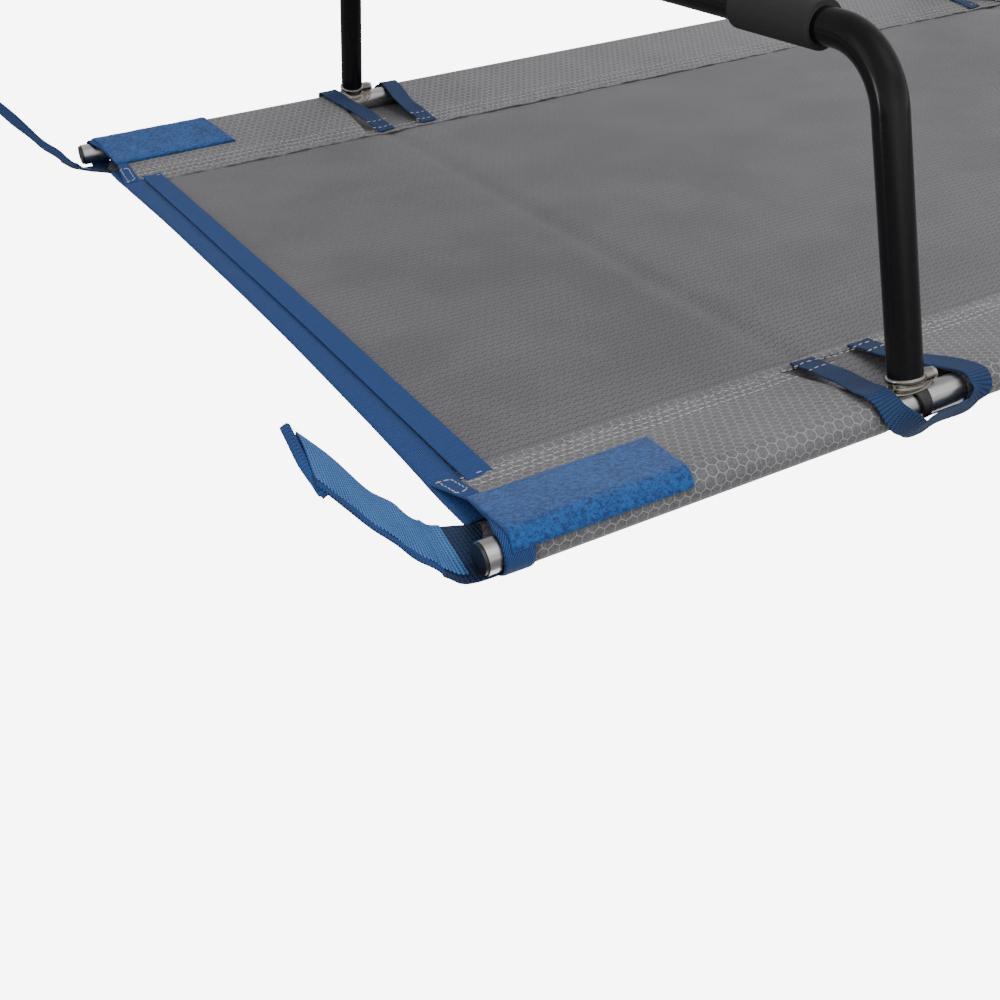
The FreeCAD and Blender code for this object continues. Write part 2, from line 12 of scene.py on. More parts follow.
import bmesh
import bpy
import numpy as np
from mathutils import Matrix, Vector
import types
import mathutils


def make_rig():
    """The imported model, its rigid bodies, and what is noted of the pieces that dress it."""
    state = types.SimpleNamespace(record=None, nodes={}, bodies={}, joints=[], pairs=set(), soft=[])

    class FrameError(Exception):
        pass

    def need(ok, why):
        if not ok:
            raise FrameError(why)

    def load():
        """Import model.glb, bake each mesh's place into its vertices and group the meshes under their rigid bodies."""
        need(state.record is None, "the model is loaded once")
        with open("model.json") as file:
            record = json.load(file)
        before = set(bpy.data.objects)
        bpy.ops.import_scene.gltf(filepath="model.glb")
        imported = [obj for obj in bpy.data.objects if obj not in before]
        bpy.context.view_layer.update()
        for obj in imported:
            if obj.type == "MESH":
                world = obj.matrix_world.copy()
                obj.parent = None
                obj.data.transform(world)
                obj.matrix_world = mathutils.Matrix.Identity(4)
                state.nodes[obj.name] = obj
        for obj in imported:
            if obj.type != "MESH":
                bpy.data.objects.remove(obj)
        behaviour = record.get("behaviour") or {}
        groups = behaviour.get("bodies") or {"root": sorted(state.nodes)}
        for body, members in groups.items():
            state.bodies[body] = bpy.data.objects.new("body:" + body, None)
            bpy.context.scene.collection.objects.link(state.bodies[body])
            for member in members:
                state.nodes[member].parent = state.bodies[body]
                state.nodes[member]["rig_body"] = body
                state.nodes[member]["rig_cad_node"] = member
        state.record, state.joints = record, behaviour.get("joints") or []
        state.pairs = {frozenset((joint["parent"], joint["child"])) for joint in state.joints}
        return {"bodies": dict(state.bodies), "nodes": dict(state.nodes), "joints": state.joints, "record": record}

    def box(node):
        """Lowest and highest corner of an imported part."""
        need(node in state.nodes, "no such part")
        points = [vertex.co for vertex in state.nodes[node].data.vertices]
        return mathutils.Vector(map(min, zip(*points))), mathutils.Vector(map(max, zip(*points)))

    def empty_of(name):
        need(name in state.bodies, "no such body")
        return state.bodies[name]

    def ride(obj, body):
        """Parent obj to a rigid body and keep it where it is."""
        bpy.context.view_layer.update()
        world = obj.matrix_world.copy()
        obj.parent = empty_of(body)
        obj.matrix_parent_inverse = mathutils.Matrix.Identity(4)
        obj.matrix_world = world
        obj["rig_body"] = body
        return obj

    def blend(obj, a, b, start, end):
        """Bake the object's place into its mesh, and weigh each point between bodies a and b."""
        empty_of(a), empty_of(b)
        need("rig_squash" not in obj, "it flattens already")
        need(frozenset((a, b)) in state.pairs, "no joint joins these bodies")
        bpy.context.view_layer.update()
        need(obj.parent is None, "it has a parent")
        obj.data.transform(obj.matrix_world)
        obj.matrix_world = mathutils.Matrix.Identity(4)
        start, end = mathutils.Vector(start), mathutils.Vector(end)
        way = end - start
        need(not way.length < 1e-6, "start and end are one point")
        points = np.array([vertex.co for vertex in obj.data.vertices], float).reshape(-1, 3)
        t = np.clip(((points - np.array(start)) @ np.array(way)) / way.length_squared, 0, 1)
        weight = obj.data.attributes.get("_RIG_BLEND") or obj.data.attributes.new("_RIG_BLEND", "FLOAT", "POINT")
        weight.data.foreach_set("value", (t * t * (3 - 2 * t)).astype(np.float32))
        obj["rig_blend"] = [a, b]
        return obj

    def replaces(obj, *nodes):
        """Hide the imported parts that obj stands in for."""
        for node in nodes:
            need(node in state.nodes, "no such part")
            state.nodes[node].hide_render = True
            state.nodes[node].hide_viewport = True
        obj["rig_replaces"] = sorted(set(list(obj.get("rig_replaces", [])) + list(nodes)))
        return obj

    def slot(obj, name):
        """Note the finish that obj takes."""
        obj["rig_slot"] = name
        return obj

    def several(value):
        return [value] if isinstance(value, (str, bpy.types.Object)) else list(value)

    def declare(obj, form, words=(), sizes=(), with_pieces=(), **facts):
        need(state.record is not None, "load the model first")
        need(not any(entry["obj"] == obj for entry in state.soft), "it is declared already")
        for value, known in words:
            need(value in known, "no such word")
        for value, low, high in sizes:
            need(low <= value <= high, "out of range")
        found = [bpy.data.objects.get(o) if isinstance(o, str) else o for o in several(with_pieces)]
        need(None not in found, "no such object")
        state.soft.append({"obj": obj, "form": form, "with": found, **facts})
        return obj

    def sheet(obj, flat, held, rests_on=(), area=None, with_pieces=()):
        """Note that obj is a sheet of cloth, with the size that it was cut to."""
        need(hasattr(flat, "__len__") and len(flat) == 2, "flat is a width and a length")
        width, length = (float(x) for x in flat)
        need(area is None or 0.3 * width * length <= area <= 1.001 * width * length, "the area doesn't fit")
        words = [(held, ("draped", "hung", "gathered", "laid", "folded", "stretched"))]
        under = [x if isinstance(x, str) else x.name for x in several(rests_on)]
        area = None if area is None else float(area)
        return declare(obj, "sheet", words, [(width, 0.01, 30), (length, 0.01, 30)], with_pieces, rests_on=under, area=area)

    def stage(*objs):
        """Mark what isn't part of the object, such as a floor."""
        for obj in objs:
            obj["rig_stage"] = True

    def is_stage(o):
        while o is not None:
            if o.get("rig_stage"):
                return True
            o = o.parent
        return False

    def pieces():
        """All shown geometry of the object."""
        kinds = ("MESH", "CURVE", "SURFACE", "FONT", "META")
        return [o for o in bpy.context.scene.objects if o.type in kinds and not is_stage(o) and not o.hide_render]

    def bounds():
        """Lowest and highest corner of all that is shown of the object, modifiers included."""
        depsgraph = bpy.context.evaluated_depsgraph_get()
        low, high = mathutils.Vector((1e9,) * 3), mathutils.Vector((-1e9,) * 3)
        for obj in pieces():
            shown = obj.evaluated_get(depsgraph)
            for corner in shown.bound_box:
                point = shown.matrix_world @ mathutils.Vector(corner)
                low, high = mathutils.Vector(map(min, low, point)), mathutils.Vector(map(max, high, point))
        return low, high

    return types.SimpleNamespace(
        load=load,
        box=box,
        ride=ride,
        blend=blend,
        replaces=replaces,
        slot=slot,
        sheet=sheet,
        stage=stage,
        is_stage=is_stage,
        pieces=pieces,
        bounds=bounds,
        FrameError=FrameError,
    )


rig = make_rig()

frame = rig.load()
cad_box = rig.bounds()
MM = 0.001


def show(thing):
    """Puts a new object in the scene."""
    bpy.context.scene.collection.objects.link(thing)
    return thing


print("frame:", len(frame["nodes"]), "nodes,", len(frame["bodies"]), "bodies")

# %% [markdown]
# ## Where things are
# A cot has four equal corners, so each corner piece is drawn once, in the corner's own
# coordinates: along the rail from its end, in across the bed, and down from the rail's
# axis. Two signs then place it. The rail's size and place are read from the frame.

# %% Corner coordinates
rail_low, rail_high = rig.box("rail_left_head")
RAIL_R = (rail_high.z - rail_low.z) / 2
RAIL_END = -rail_low.x
RAIL_Y = (rail_low.y + rail_high.y) / 2
RAIL_Z = (rail_low.z + rail_high.z) / 2
ENDS = {"head": -1, "foot": 1}
SIDES = {"left": 1, "right": -1}
CORNERS = [(end, side) for end in ENDS for side in SIDES]


def place(point, end=-1, side=1):
    """(along, in, down) in millimetres at a corner, as a point of the row frame in metres."""
    along, inward, down = point
    return Vector((end * (RAIL_END - along * MM), side * (RAIL_Y - inward * MM),
                   RAIL_Z - down * MM))


print("rail radius", round(RAIL_R / MM, 2), "mm, end at", round(RAIL_END, 4), "m")

# %% [markdown]
# ## Camera
# The cot is seen from below one corner, with the picture's up pointing at the floor, as
# it looks when somebody turns it over to fit the legs. A direction and an up vector set
# the turn, which is clearer than three angles when the camera is nearly upside down.

# %% Camera
CAMERA_AT = place((-202.1, -409.2, 320.2))
LOOK = Vector((0.38872, -0.74824, 0.53762)).normalized()
PICTURE_UP = Vector((0.29925, -0.44935, -0.84175)).normalized()
camera_data = bpy.data.cameras.new("camera")
camera_data.sensor_width = 36
camera_data.lens = 46.8
camera = bpy.data.objects.new("camera", camera_data)
right = LOOK.cross(PICTURE_UP).normalized()
turn = Matrix((right, right.cross(LOOK), -LOOK)).transposed()
camera.matrix_world = Matrix.Translation(CAMERA_AT) @ turn.to_4x4()
show(camera)
bpy.context.scene.camera = camera
print("camera at", [round(value, 3) for value in CAMERA_AT])

# %% [markdown]
# ## Floor and light
# The cot stands on a plain pale floor, but it is looked at from underneath. So the floor
# is one-sided: it is clear from below and to shadow rays, and only its upper face shows.
# The world looks brighter to the camera than the light it throws, so the backdrop is
# clean and the cloth is not washed out. Large soft area lights stand round the corner,
# and one long strip draws a thin bright line down the gloss black leg.

# %% Floor and lights
FLOOR_Z = -0.0004
FLOOR_GLOW = 0.22
WORLD_LEVEL = 0.26
BACKDROP_LEVEL = 7.5


def one_sided_white(name, roughness):
    material = bpy.data.materials.new(name)
    material.use_nodes = True
    tree = material.node_tree
    shader = tree.nodes["Principled BSDF"]
    shader.inputs["Base Color"].default_value = (0.9, 0.9, 0.9, 1)
    shader.inputs["Roughness"].default_value = roughness
    shader.inputs["Emission Color"].default_value = (1, 1, 1, 1)
    shader.inputs["Emission Strength"].default_value = FLOOR_GLOW
    side = tree.nodes.new("ShaderNodeNewGeometry")
    ray = tree.nodes.new("ShaderNodeLightPath")
    either = tree.nodes.new("ShaderNodeMath")
    either.operation = "MAXIMUM"
    clear = tree.nodes.new("ShaderNodeBsdfTransparent")
    choice = tree.nodes.new("ShaderNodeMixShader")
    tree.links.new(side.outputs["Backfacing"], either.inputs[0])
    tree.links.new(ray.outputs["Is Shadow Ray"], either.inputs[1])
    tree.links.new(either.outputs[0], choice.inputs[0])
    tree.links.new(shader.outputs[0], choice.inputs[1])
    tree.links.new(clear.outputs[0], choice.inputs[2])
    tree.links.new(choice.outputs[0], tree.nodes["Material Output"].inputs["Surface"])
    return material


def area_light(name, at, aim, size, power, stretch=1.0):
    data = bpy.data.lights.new(name, "AREA")
    data.shape = "RECTANGLE"
    data.size = size
    data.size_y = size * stretch
    data.energy = power
    light = bpy.data.objects.new(name, data)
    light.location = at
    light.rotation_euler = (Vector(aim) - Vector(at)).to_track_quat("-Z", "Y").to_euler()
    return show(light)


floor_mesh = bpy.data.meshes.new("floor")
FLOOR_REACH = 14
floor_mesh.from_pydata([(x * FLOOR_REACH, y * FLOOR_REACH, FLOOR_Z)
                        for x, y in ((-1, -1), (1, -1), (1, 1), (-1, 1))], [], [(0, 1, 2, 3)])
floor_mesh.materials.append(one_sided_white("floor_white", 0.9))
floor = show(bpy.data.objects.new("floor", floor_mesh))
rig.stage(floor)

world = bpy.data.worlds.new("studio")
bpy.context.scene.world = world
world.use_nodes = True
glow = world.node_tree.nodes["Background"]
glow.inputs["Color"].default_value = (1, 1, 1, 1)
rays = world.node_tree.nodes.new("ShaderNodeLightPath")
level = world.node_tree.nodes.new("ShaderNodeMapRange")
level.inputs["To Min"].default_value = WORLD_LEVEL
level.inputs["To Max"].default_value = BACKDROP_LEVEL
world.node_tree.links.new(rays.outputs["Is Camera Ray"], level.inputs["Value"])
world.node_tree.links.new(level.outputs["Result"], glow.inputs["Strength"])
corner = place((120, 60, 0))
area_light("under_key", (-0.4, 0.9, -1.1), corner, 0.9, 15)
area_light("outer_fill", (-1.2, 2.3, -0.62), corner, 1.1, 17)
area_light("far_under", (0.9, -0.6, -1.15), (0, 0, 0.1), 1.2, 17)
area_light("top_soft", (0.0, 0.0, 2.4), (0, 0, 0.1), 2.5, 45)
area_light("end_strip", (-2.4, -0.2, -0.3), corner, 0.25, 9, 5.0)
print("floor at", FLOOR_Z, "m")

# %% [markdown]
# ## Shader sums as expressions
# A shader tree is easier to read as arithmetic. Value wraps one socket; +, -, *, / and
# their reflected forms add a Math node, so 1 - mask works. Nodes holds the tree, and its
# node method makes any other node: settings first, then socket values or links.

# %% Expression helper
class Value:
    """One output socket that can be used in sums."""

    def __init__(self, tree, socket):
        self.tree = tree
        self.socket = socket

    def sum(self, operation, *others):
        return self.tree.node("ShaderNodeMath", {"operation": operation},
                              {index: item for index, item in enumerate((self, *others))})

    def __add__(self, other):
        return self.sum("ADD", other)

    def __sub__(self, other):
        return self.sum("SUBTRACT", other)

    def __rsub__(self, other):
        return self.tree.constant_first("SUBTRACT", other, self)

    def __mul__(self, other):
        return self.sum("MULTIPLY", other)

    def __truediv__(self, other):
        return self.sum("DIVIDE", other)

    def __rtruediv__(self, other):
        return self.tree.constant_first("DIVIDE", other, self)

    def __mod__(self, other):
        return self.sum("FLOORED_MODULO", other)

    def __lt__(self, other):
        return self.sum("LESS_THAN", other)

    def __gt__(self, other):
        return self.sum("GREATER_THAN", other)

    def __abs__(self):
        return self.sum("ABSOLUTE")

    def sine(self):
        return self.sum("SINE")

    def larger(self, other):
        return self.sum("MAXIMUM", other)

    __radd__ = __add__
    __rmul__ = __mul__


class Nodes:
    """The node tree of one material, with its main shader."""

    def __init__(self, name):
        self.material = bpy.data.materials.new(name)
        self.material.use_nodes = True
        self.tree = self.material.node_tree
        self.shader = self.tree.nodes["Principled BSDF"]

    def node(self, kind, settings=None, sockets=None, output=0):
        made = self.tree.nodes.new(kind)
        for key, setting in (settings or {}).items():
            setattr(made, key, setting)
        for key, value in (sockets or {}).items():
            self.feed(made.inputs[key], value)
        return Value(self, made.outputs[output])

    def feed(self, socket, value):
        if isinstance(value, Value):
            self.tree.links.new(value.socket, socket)
        else:
            socket.default_value = value

    def constant_first(self, operation, number, value):
        return self.node("ShaderNodeMath", {"operation": operation}, {0: number, 1: value})

    def smooth(self, value, low, high):
        """0 below low, 1 above high, and a soft step between."""
        return self.node("ShaderNodeMapRange", {"interpolation_type": "SMOOTHSTEP"},
                         {"Value": value, "From Min": low, "From Max": high})

    def mix(self, mask, first, second):
        """Colour from first, where the mask is 0, to second, where it is 1."""
        first, second = (item if isinstance(item, Value) else (*item, 1)
                         for item in (first, second))
        return self.node("ShaderNodeMix", {"data_type": "RGBA"},
                         {0: mask, 6: first, 7: second}, output=2)

    def noise(self, scale, detail=2.0, vector=None):
        return self.node("ShaderNodeTexNoise", None,
                         {"Scale": scale, "Detail": detail,
                          "Vector": vector or self.position()})

    def position(self):
        return self.node("ShaderNodeTexCoord", None, None, output=3)

    def cloth_axes(self):
        """The piece's own UV map in millimetres, as two values: across it and along it."""
        uv = self.node("ShaderNodeUVMap", {"uv_map": "cloth"})
        split = self.tree.nodes.new("ShaderNodeSeparateXYZ")
        self.tree.links.new(uv.socket, split.inputs[0])
        return (Value(self, split.outputs[0]) * 1000, Value(self, split.outputs[1]) * 1000)

    def finish(self, colour, roughness, bump=None, depth=0.1, **fixed):
        """Feeds the main shader; fixed values go on its own sockets."""
        self.feed(self.shader.inputs["Base Color"], colour)
        self.feed(self.shader.inputs["Roughness"], roughness)
        if bump is not None:
            relief = self.node("ShaderNodeBump", None,
                               {"Height": bump, "Distance": depth * MM, "Strength": 1.0})
            self.tree.links.new(relief.socket, self.shader.inputs["Normal"])
        for key, value in fixed.items():
            self.shader.inputs[key.replace("_", " ")].default_value = value
        return self.material


print("shader helper ready")

# %% [markdown]
# ## Cloth finishes
# The bed is one coated ripstop. Its face shows pale honeycomb lines, which are thicker
# yarns, and its back shows the same yarns as small dark floats. Both are drawn from the
# cloth's own map in millimetres, so the cells keep their size where the cloth bends.
# A honeycomb is two square lattices: each point belongs to the nearer cell middle.

# %% Bed cloth, face and back
CELL = 5.8
FLOAT_STEP = 1.15


def honeycomb(nodes, across, along, closed=True):
    """0 in the middle of a cell and 0.5 on its edge; not closed leaves out the cross edges."""
    tall = CELL * math.sqrt(3)

    def cell(shift):
        u = (along + shift * CELL / 2) % CELL - CELL / 2
        v = (across + shift * tall / 2) % tall - tall / 2
        return u / CELL, v / CELL

    (u1, v1), (u2, v2) = cell(0), cell(1)
    first = u1 * u1 + v1 * v1
    second = u2 * u2 + v2 * v2
    nearer = first < second
    u = abs(u1 * nearer + u2 * (1 - nearer))
    v = abs(v1 * nearer + v2 * (1 - nearer))
    slanted = u * 0.5 + v * (math.sqrt(3) / 2)
    return u.larger(slanted) if closed else slanted


def weave(across, along, pitch):
    """A plain weave: threads that go over and under each other, from -1 to 1."""
    step = 2 * math.pi / pitch
    return (across * step).sine() * (along * step).sine()


def make_cloth(name, ground, shade, lines, back):
    nodes = Nodes(name)
    across, along = nodes.cloth_axes()
    edge = honeycomb(nodes, across, along)
    fine = weave(across, along, 0.9)
    drift = nodes.noise(14, 3)
    grain = nodes.noise(900, 2)
    if back:
        floor_across = across - across % FLOAT_STEP
        edge = honeycomb(nodes, floor_across, along, False)
        gap = (across % FLOAT_STEP) > FLOAT_STEP * 0.3
        mask = nodes.smooth(edge, 0.40, 0.425) * gap
        # Each dark float has a thin rim just inside it. The rim is raised a little, and it is also painted paler as a
        # painted highlight beside the float.
        float_rim_painted_highlight = nodes.smooth(edge, 0.33, 0.36) * (1 - nodes.smooth(edge, 0.36, 0.39)) * gap
        height = fine * 0.25 - mask * 0.9 + float_rim_painted_highlight * 0.5
    else:
        mask = nodes.smooth(edge, 0.455, 0.485)
        height = fine * 0.25 + mask * 1.0
    colour = nodes.mix(nodes.smooth(drift, 0.3, 0.7), ground, shade)
    colour = nodes.mix(nodes.smooth(grain, 0.35, 0.75) * 0.25, colour, lines)
    colour = nodes.mix(mask * 0.85, colour, lines)
    if back:
        # Painted highlight: the rim beside each dark float is mixed halfway to a pale grey.
        colour = nodes.mix(float_rim_painted_highlight * 0.5, colour, (0.22, 0.215, 0.225))
    rough = 0.62 + grain * 0.16 - mask * 0.08
    return nodes.finish(colour, rough, height, 0.16, Sheen_Weight=0.08, Sheen_Roughness=0.5)


face_cloth = make_cloth("honeycomb_face", (0.062, 0.061, 0.067), (0.088, 0.087, 0.094),
                        (0.360, 0.355, 0.365), False)
back_cloth = make_cloth("honeycomb_back", (0.088, 0.086, 0.095), (0.112, 0.109, 0.120),
                        (0.016, 0.016, 0.018), True)
print("cloth materials", face_cloth.name, back_cloth.name)

# %% [markdown]
# ## Blue tapes and thread
# Webbing is heavy: ribs of weft cross it, and the warp shows as a coarse grid. Binding
# tape is finer and has a slanted twill. Hook tape has a shiny face of tiny hooks, and
# loop tape a soft speckled pile. Each is one function of pitch, colour and shine.

# %% Blue tapes
DEEP = (0.0004, 0.008, 0.045)
MID = (0.0018, 0.070, 0.295)


def make_webbing(name, rib, warp, dark, light, shine=0.0):
    nodes = Nodes(name)
    across, along = nodes.cloth_axes()
    ribs = (along * (2 * math.pi / rib)).sine()
    cords = (across * (2 * math.pi / warp) + ribs * 0.6).sine()
    knots = ribs * cords
    wander = nodes.noise(45, 3)
    fuzz = nodes.noise(1400, 2)
    tone = nodes.smooth(ribs * 0.35 + knots * 0.35 + wander * 0.4 + fuzz * 0.4, -0.15, 0.95)
    colour = nodes.mix(tone, dark, light)
    rough = 0.72 - shine + fuzz * 0.18
    return nodes.finish(colour, rough, ribs * 0.6 + knots * 0.5 + fuzz * 0.2, 0.40)


def make_twill(name, pitch, dark, light):
    nodes = Nodes(name)
    across, along = nodes.cloth_axes()
    slant = ((across * 0.8 + along) * (2 * math.pi / pitch)).sine()
    threads = weave(across, along, pitch * 0.6)
    fuzz = nodes.noise(1500, 2)
    tone = nodes.smooth(slant * 0.45 + threads * 0.35 + fuzz * 0.8, -0.05, 0.95)
    return nodes.finish(nodes.mix(tone, dark, light), 0.66 + fuzz * 0.2,
                        slant * 0.7 + fuzz * 0.3, 0.20)


blue_webbing = make_webbing("blue_webbing", 1.9, 1.5, DEEP, MID)
open_webbing = make_webbing("open_webbing", 2.3, 2.3, (0.0004, 0.003, 0.014),
                            (0.0015, 0.026, 0.100))
edge_webbing = make_webbing("edge_webbing", 1.9, 1.5, (0.0003, 0.005, 0.026),
                            (0.0016, 0.042, 0.150))
blue_binding = make_twill("blue_binding", 1.3, DEEP, MID)
hook_blue = make_webbing("hook_tape_blue", 2.1, 1.7, (0.004, 0.042, 0.180),
                         (0.060, 0.215, 0.520), 0.30)


def make_pile():
    nodes = Nodes("loop_pile_blue")
    patches = nodes.noise(420, 5)
    fibres = nodes.noise(1300, 4)
    wander = nodes.noise(60, 2)
    tone = nodes.smooth(patches * 0.8 + fibres * 0.9 + wander * 0.2, 0.78, 1.12)
    colour = nodes.mix(tone, (0.0004, 0.020, 0.100), (0.0035, 0.082, 0.290))
    return nodes.finish(colour, 0.85 + fibres * 0.1, patches + fibres * 0.8, 0.5,
                        Sheen_Weight=0.15, Sheen_Roughness=0.4)


def make_thread(name, colour):
    nodes = Nodes(name)
    twist = nodes.noise(2500, 1)
    return nodes.finish(nodes.mix(twist, [value * 0.6 for value in colour], colour), 0.55)


loop_pile = make_pile()
pale_thread = make_thread("pale_thread", (0.46, 0.45, 0.44))
blue_thread = make_thread("blue_thread", (0.02, 0.10, 0.27))
print("tapes ready")

# %% [markdown]
# ## Metal, plastic and rubber
# The rails are satin drawn tube with faint lines along them. The legs are gloss black
# powder coat, so they carry one sharp highlight. The fittings are bright nickel over a
# casting, which is never quite even. Rubber and moulded plastic are dull and lightly
# grained.

# %% Hard finishes
def make_hard(name, colour, roughness, grain, metallic=0.0, streak=(1, 1, 1), relief=0.02,
              **fixed):
    nodes = Nodes(name)
    place_on = nodes.node("ShaderNodeMapping", None,
                          {"Vector": nodes.position(), "Scale": streak})
    texture = nodes.noise(grain, 4, place_on)
    cloudy = nodes.noise(35, 2)
    dark = [value * 0.82 for value in colour]
    body = nodes.mix(nodes.smooth(texture * 0.7 + cloudy * 0.3, 0.3, 0.7), dark, colour)
    rough = roughness + (texture - 0.5) * roughness * 0.5
    return nodes.finish(body, rough, texture, relief, Metallic=metallic, **fixed)


satin_tube = make_hard("satin_tube", (0.56, 0.55, 0.55), 0.30, 900, 1.0, (0.02, 1, 1))
black_coat = make_hard("black_coat", (0.0045, 0.0045, 0.0050), 0.19, 500, 0.0, (1, 1, 1), 0.006,
                       Specular_IOR_Level=0.3)
nickel = make_hard("bright_nickel", (0.42, 0.39, 0.35), 0.15, 260, 1.0, (1, 1, 1), 0.05)
latch_black = make_hard("latch_black", (0.012, 0.012, 0.013), 0.26, 600, 0.0)
rivet_metal = make_hard("rivet_metal", (0.50, 0.49, 0.47), 0.36, 800, 1.0)
plug_black = make_hard("plug_black", (0.016, 0.016, 0.017), 0.42, 900, 0.0)
grip_black = make_hard("grip_black", (0.022, 0.022, 0.023), 0.80, 1200, 0.0, (1, 1, 1), 0.06)
print("hard finishes ready")

# %% [markdown]
# ## Mesh helpers
# A mesh piece is made from points and faces, has its faces turned outwards, and gets a
# map in metres named cloth when its weave has to follow it. Every piece then rides a
# body and names the record's slot that its finish comes from.

# %% Mesh helpers
def link_mesh(name, points, faces, materials, cloth_map=None):
    mesh = bpy.data.meshes.new(name)
    mesh.from_pydata([tuple(point) for point in points], [], faces)
    for material in materials:
        mesh.materials.append(material)
    if cloth_map is not None:
        layer = mesh.uv_layers.new(name="cloth")
        corners = np.zeros(len(mesh.loops), np.int32)
        mesh.loops.foreach_get("vertex_index", corners)
        layer.data.foreach_set("uv", np.asarray(cloth_map, np.float32)[corners].ravel())
    mesh.polygons.foreach_set("use_smooth", [True] * len(mesh.polygons))
    return show(bpy.data.objects.new(name, mesh))


def turn_outwards(thing):
    work = bmesh.new()
    work.from_mesh(thing.data)
    bmesh.ops.recalc_face_normals(work, faces=work.faces)
    work.to_mesh(thing.data)
    work.free()
    return thing


def strip_faces(rows, columns):
    """Faces of a closed strip: a top grid of points, then a bottom grid, rows x columns."""
    n, count = columns + 1, (rows + 1) * (columns + 1)
    faces = []
    for row in range(rows):
        for c in range(columns):
            k = row * n + c
            faces.append((k, k + 1, k + n + 1, k + n))
            faces.append((count + k, count + k + n, count + k + n + 1, count + k + 1))
        for k in (row * n, row * n + columns):
            faces.append((k, k + n, count + k + n, count + k))
    for k in range(columns):
        last = rows * n + k
        faces.append((k, k + 1, count + k + 1, count + k))
        faces.append((last, last + 1, count + last + 1, count + last))
    return faces


def loft_faces(rings, sides):
    """Faces of a closed loft: a first point, then rings of points, then a last point."""
    last = 1 + rings * sides
    faces = []
    for k in range(sides):
        after = (k + 1) % sides
        faces.append((0, 1 + after, 1 + k))
        faces.append((last, last - sides + k, last - sides + after))
        for r in range(rings - 1):
            a = 1 + r * sides
            faces.append((a + k, a + after, a + sides + after, a + sides + k))
    return faces


def bake_modifiers(thing):
    """Turns the evaluated object into its plain mesh and drops the modifiers."""
    bpy.context.view_layer.update()
    evaluated = thing.evaluated_get(bpy.context.evaluated_depsgraph_get())
    mesh = bpy.data.meshes.new_from_object(evaluated)
    thing.modifiers.clear()
    thing.data = mesh
    return thing


def attach(thing, body, slot_name, *replaced):
    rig.ride(thing, body)
    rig.slot(thing, slot_name)
    if replaced:
        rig.replaces(thing, *replaced)
    return thing


def smooth_route(controls, step):
    """Points about step apart on a Catmull-Rom curve through rows of numbers."""
    rows = np.array(controls, float)
    padded = np.vstack((2 * rows[0] - rows[1], rows, 2 * rows[-1] - rows[-2]))
    found = []
    for a, b, c, d in zip(padded, padded[1:], padded[2:], padded[3:]):
        count = max(2, int(np.linalg.norm((c - b)[:3]) / step))
        for t in np.linspace(0, 1, count, endpoint=False):
            found.append(0.5 * (2 * b + (c - a) * t + (2 * a - 5 * b + 4 * c - d) * t ** 2
                                + (3 * b - a - 3 * c + d) * t ** 3))
    found.append(rows[-1])
    return np.array(found)


print("mesh helpers ready")

# %% [markdown]
# ## The bed cloth
# One length of cloth makes the whole bed. It crosses over the top of each rail, wraps the
# outer side, comes back underneath and is sewn to itself, which closes a sleeve. A grid
# that follows this section keeps the honeycomb unbroken over the rail. The sleeve is cut
# away where a leg stands. The pull of the legs leaves a soft crease across the bed, and
# the stitching gathers the seam into small puckers.

# %% Bed cloth section
SHEET_WALL = 0.9
WRAP_R = RAIL_R / MM + 0.3 + SHEET_WALL / 2
SEAM_IN = 75.0
HEM = 6.0
FLAP_ANGLE = 2 * math.atan(WRAP_R / SEAM_IN)
HALF_BED = RAIL_Y / MM
PANEL_STEPS, WRAP_STEPS, FLAP_STEPS = 42, 16, 22
PANEL_START = 13.0
SLEEVE_START = 21.5
END_FADE = 25.0
EDGE_BOW = 5.0
STRAIGHT_TO = 60.0  # in from the rail, the end of the bed is straight as far as this
HEM_DOWN = -WRAP_R + SHEET_WALL + 0.15
CUT_ANGLE = 0.25


def half_section():
    """Rows of (in, down, zone, tilt) from the bed's middle to the sleeve's hem."""
    rows = [(HALF_BED * (1 - i / PANEL_STEPS), -WRAP_R, "panel", 0.0)
            for i in range(PANEL_STEPS)]
    for i in range(WRAP_STEPS + 1):
        angle = (math.pi + FLAP_ANGLE) * i / WRAP_STEPS
        rows.append((-WRAP_R * math.sin(angle), -WRAP_R * math.cos(angle), "wrap", angle))
    start_in, start_down = rows[-1][0], rows[-1][1]
    for i in range(1, FLAP_STEPS + 1):
        part = i / FLAP_STEPS
        rows.append((start_in + (SEAM_IN - start_in) * part,
                     start_down + (HEM_DOWN - start_down) * part, "flap",
                     math.pi + FLAP_ANGLE))
    for i in (1, 2):
        rows.append((SEAM_IN + HEM * i / 2, HEM_DOWN, "hem", math.pi))
    return rows


half = half_section()
lengths = [0.0]
for (a, b, _, _), (c, d, _, _) in zip(half, half[1:]):
    lengths.append(lengths[-1] + math.hypot(c - a, d - b))
section = [(side, row, side * length)
           for side, rows in ((-1, list(zip(half, lengths))[:0:-1]), (1, zip(half, lengths)))
           for row, length in rows]
print("cloth width", round(2 * lengths[-1]), "mm in", len(section), "rows")

# %% [markdown]
# ## Cut-outs
# Each leg needs an opening in the sleeve. The outer bows slide towards the middle, so
# their openings are longer on that side, and the leg stations come from the frame.

# %% Cut-outs and leg stations
STATIONS = {}
for bow in ("head", "middle", "foot"):
    low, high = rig.box(bow + "_leg_left")
    STATIONS[bow] = (low.x + high.x) / 2 / MM
CUT_LEFT, CUT_RIGHT = 19.0, 33.0
MIDDLE_CUT = 26.0


def cut_out(bow):
    """Start and end of a cut-out along X, in millimetres; the outer two mirror each other."""
    station = STATIONS[bow]
    if bow == "middle":
        return station - MIDDLE_CUT, station + MIDDLE_CUT
    before, after = (CUT_LEFT, CUT_RIGHT) if bow == "head" else (CUT_RIGHT, CUT_LEFT)
    return station - before, station + after


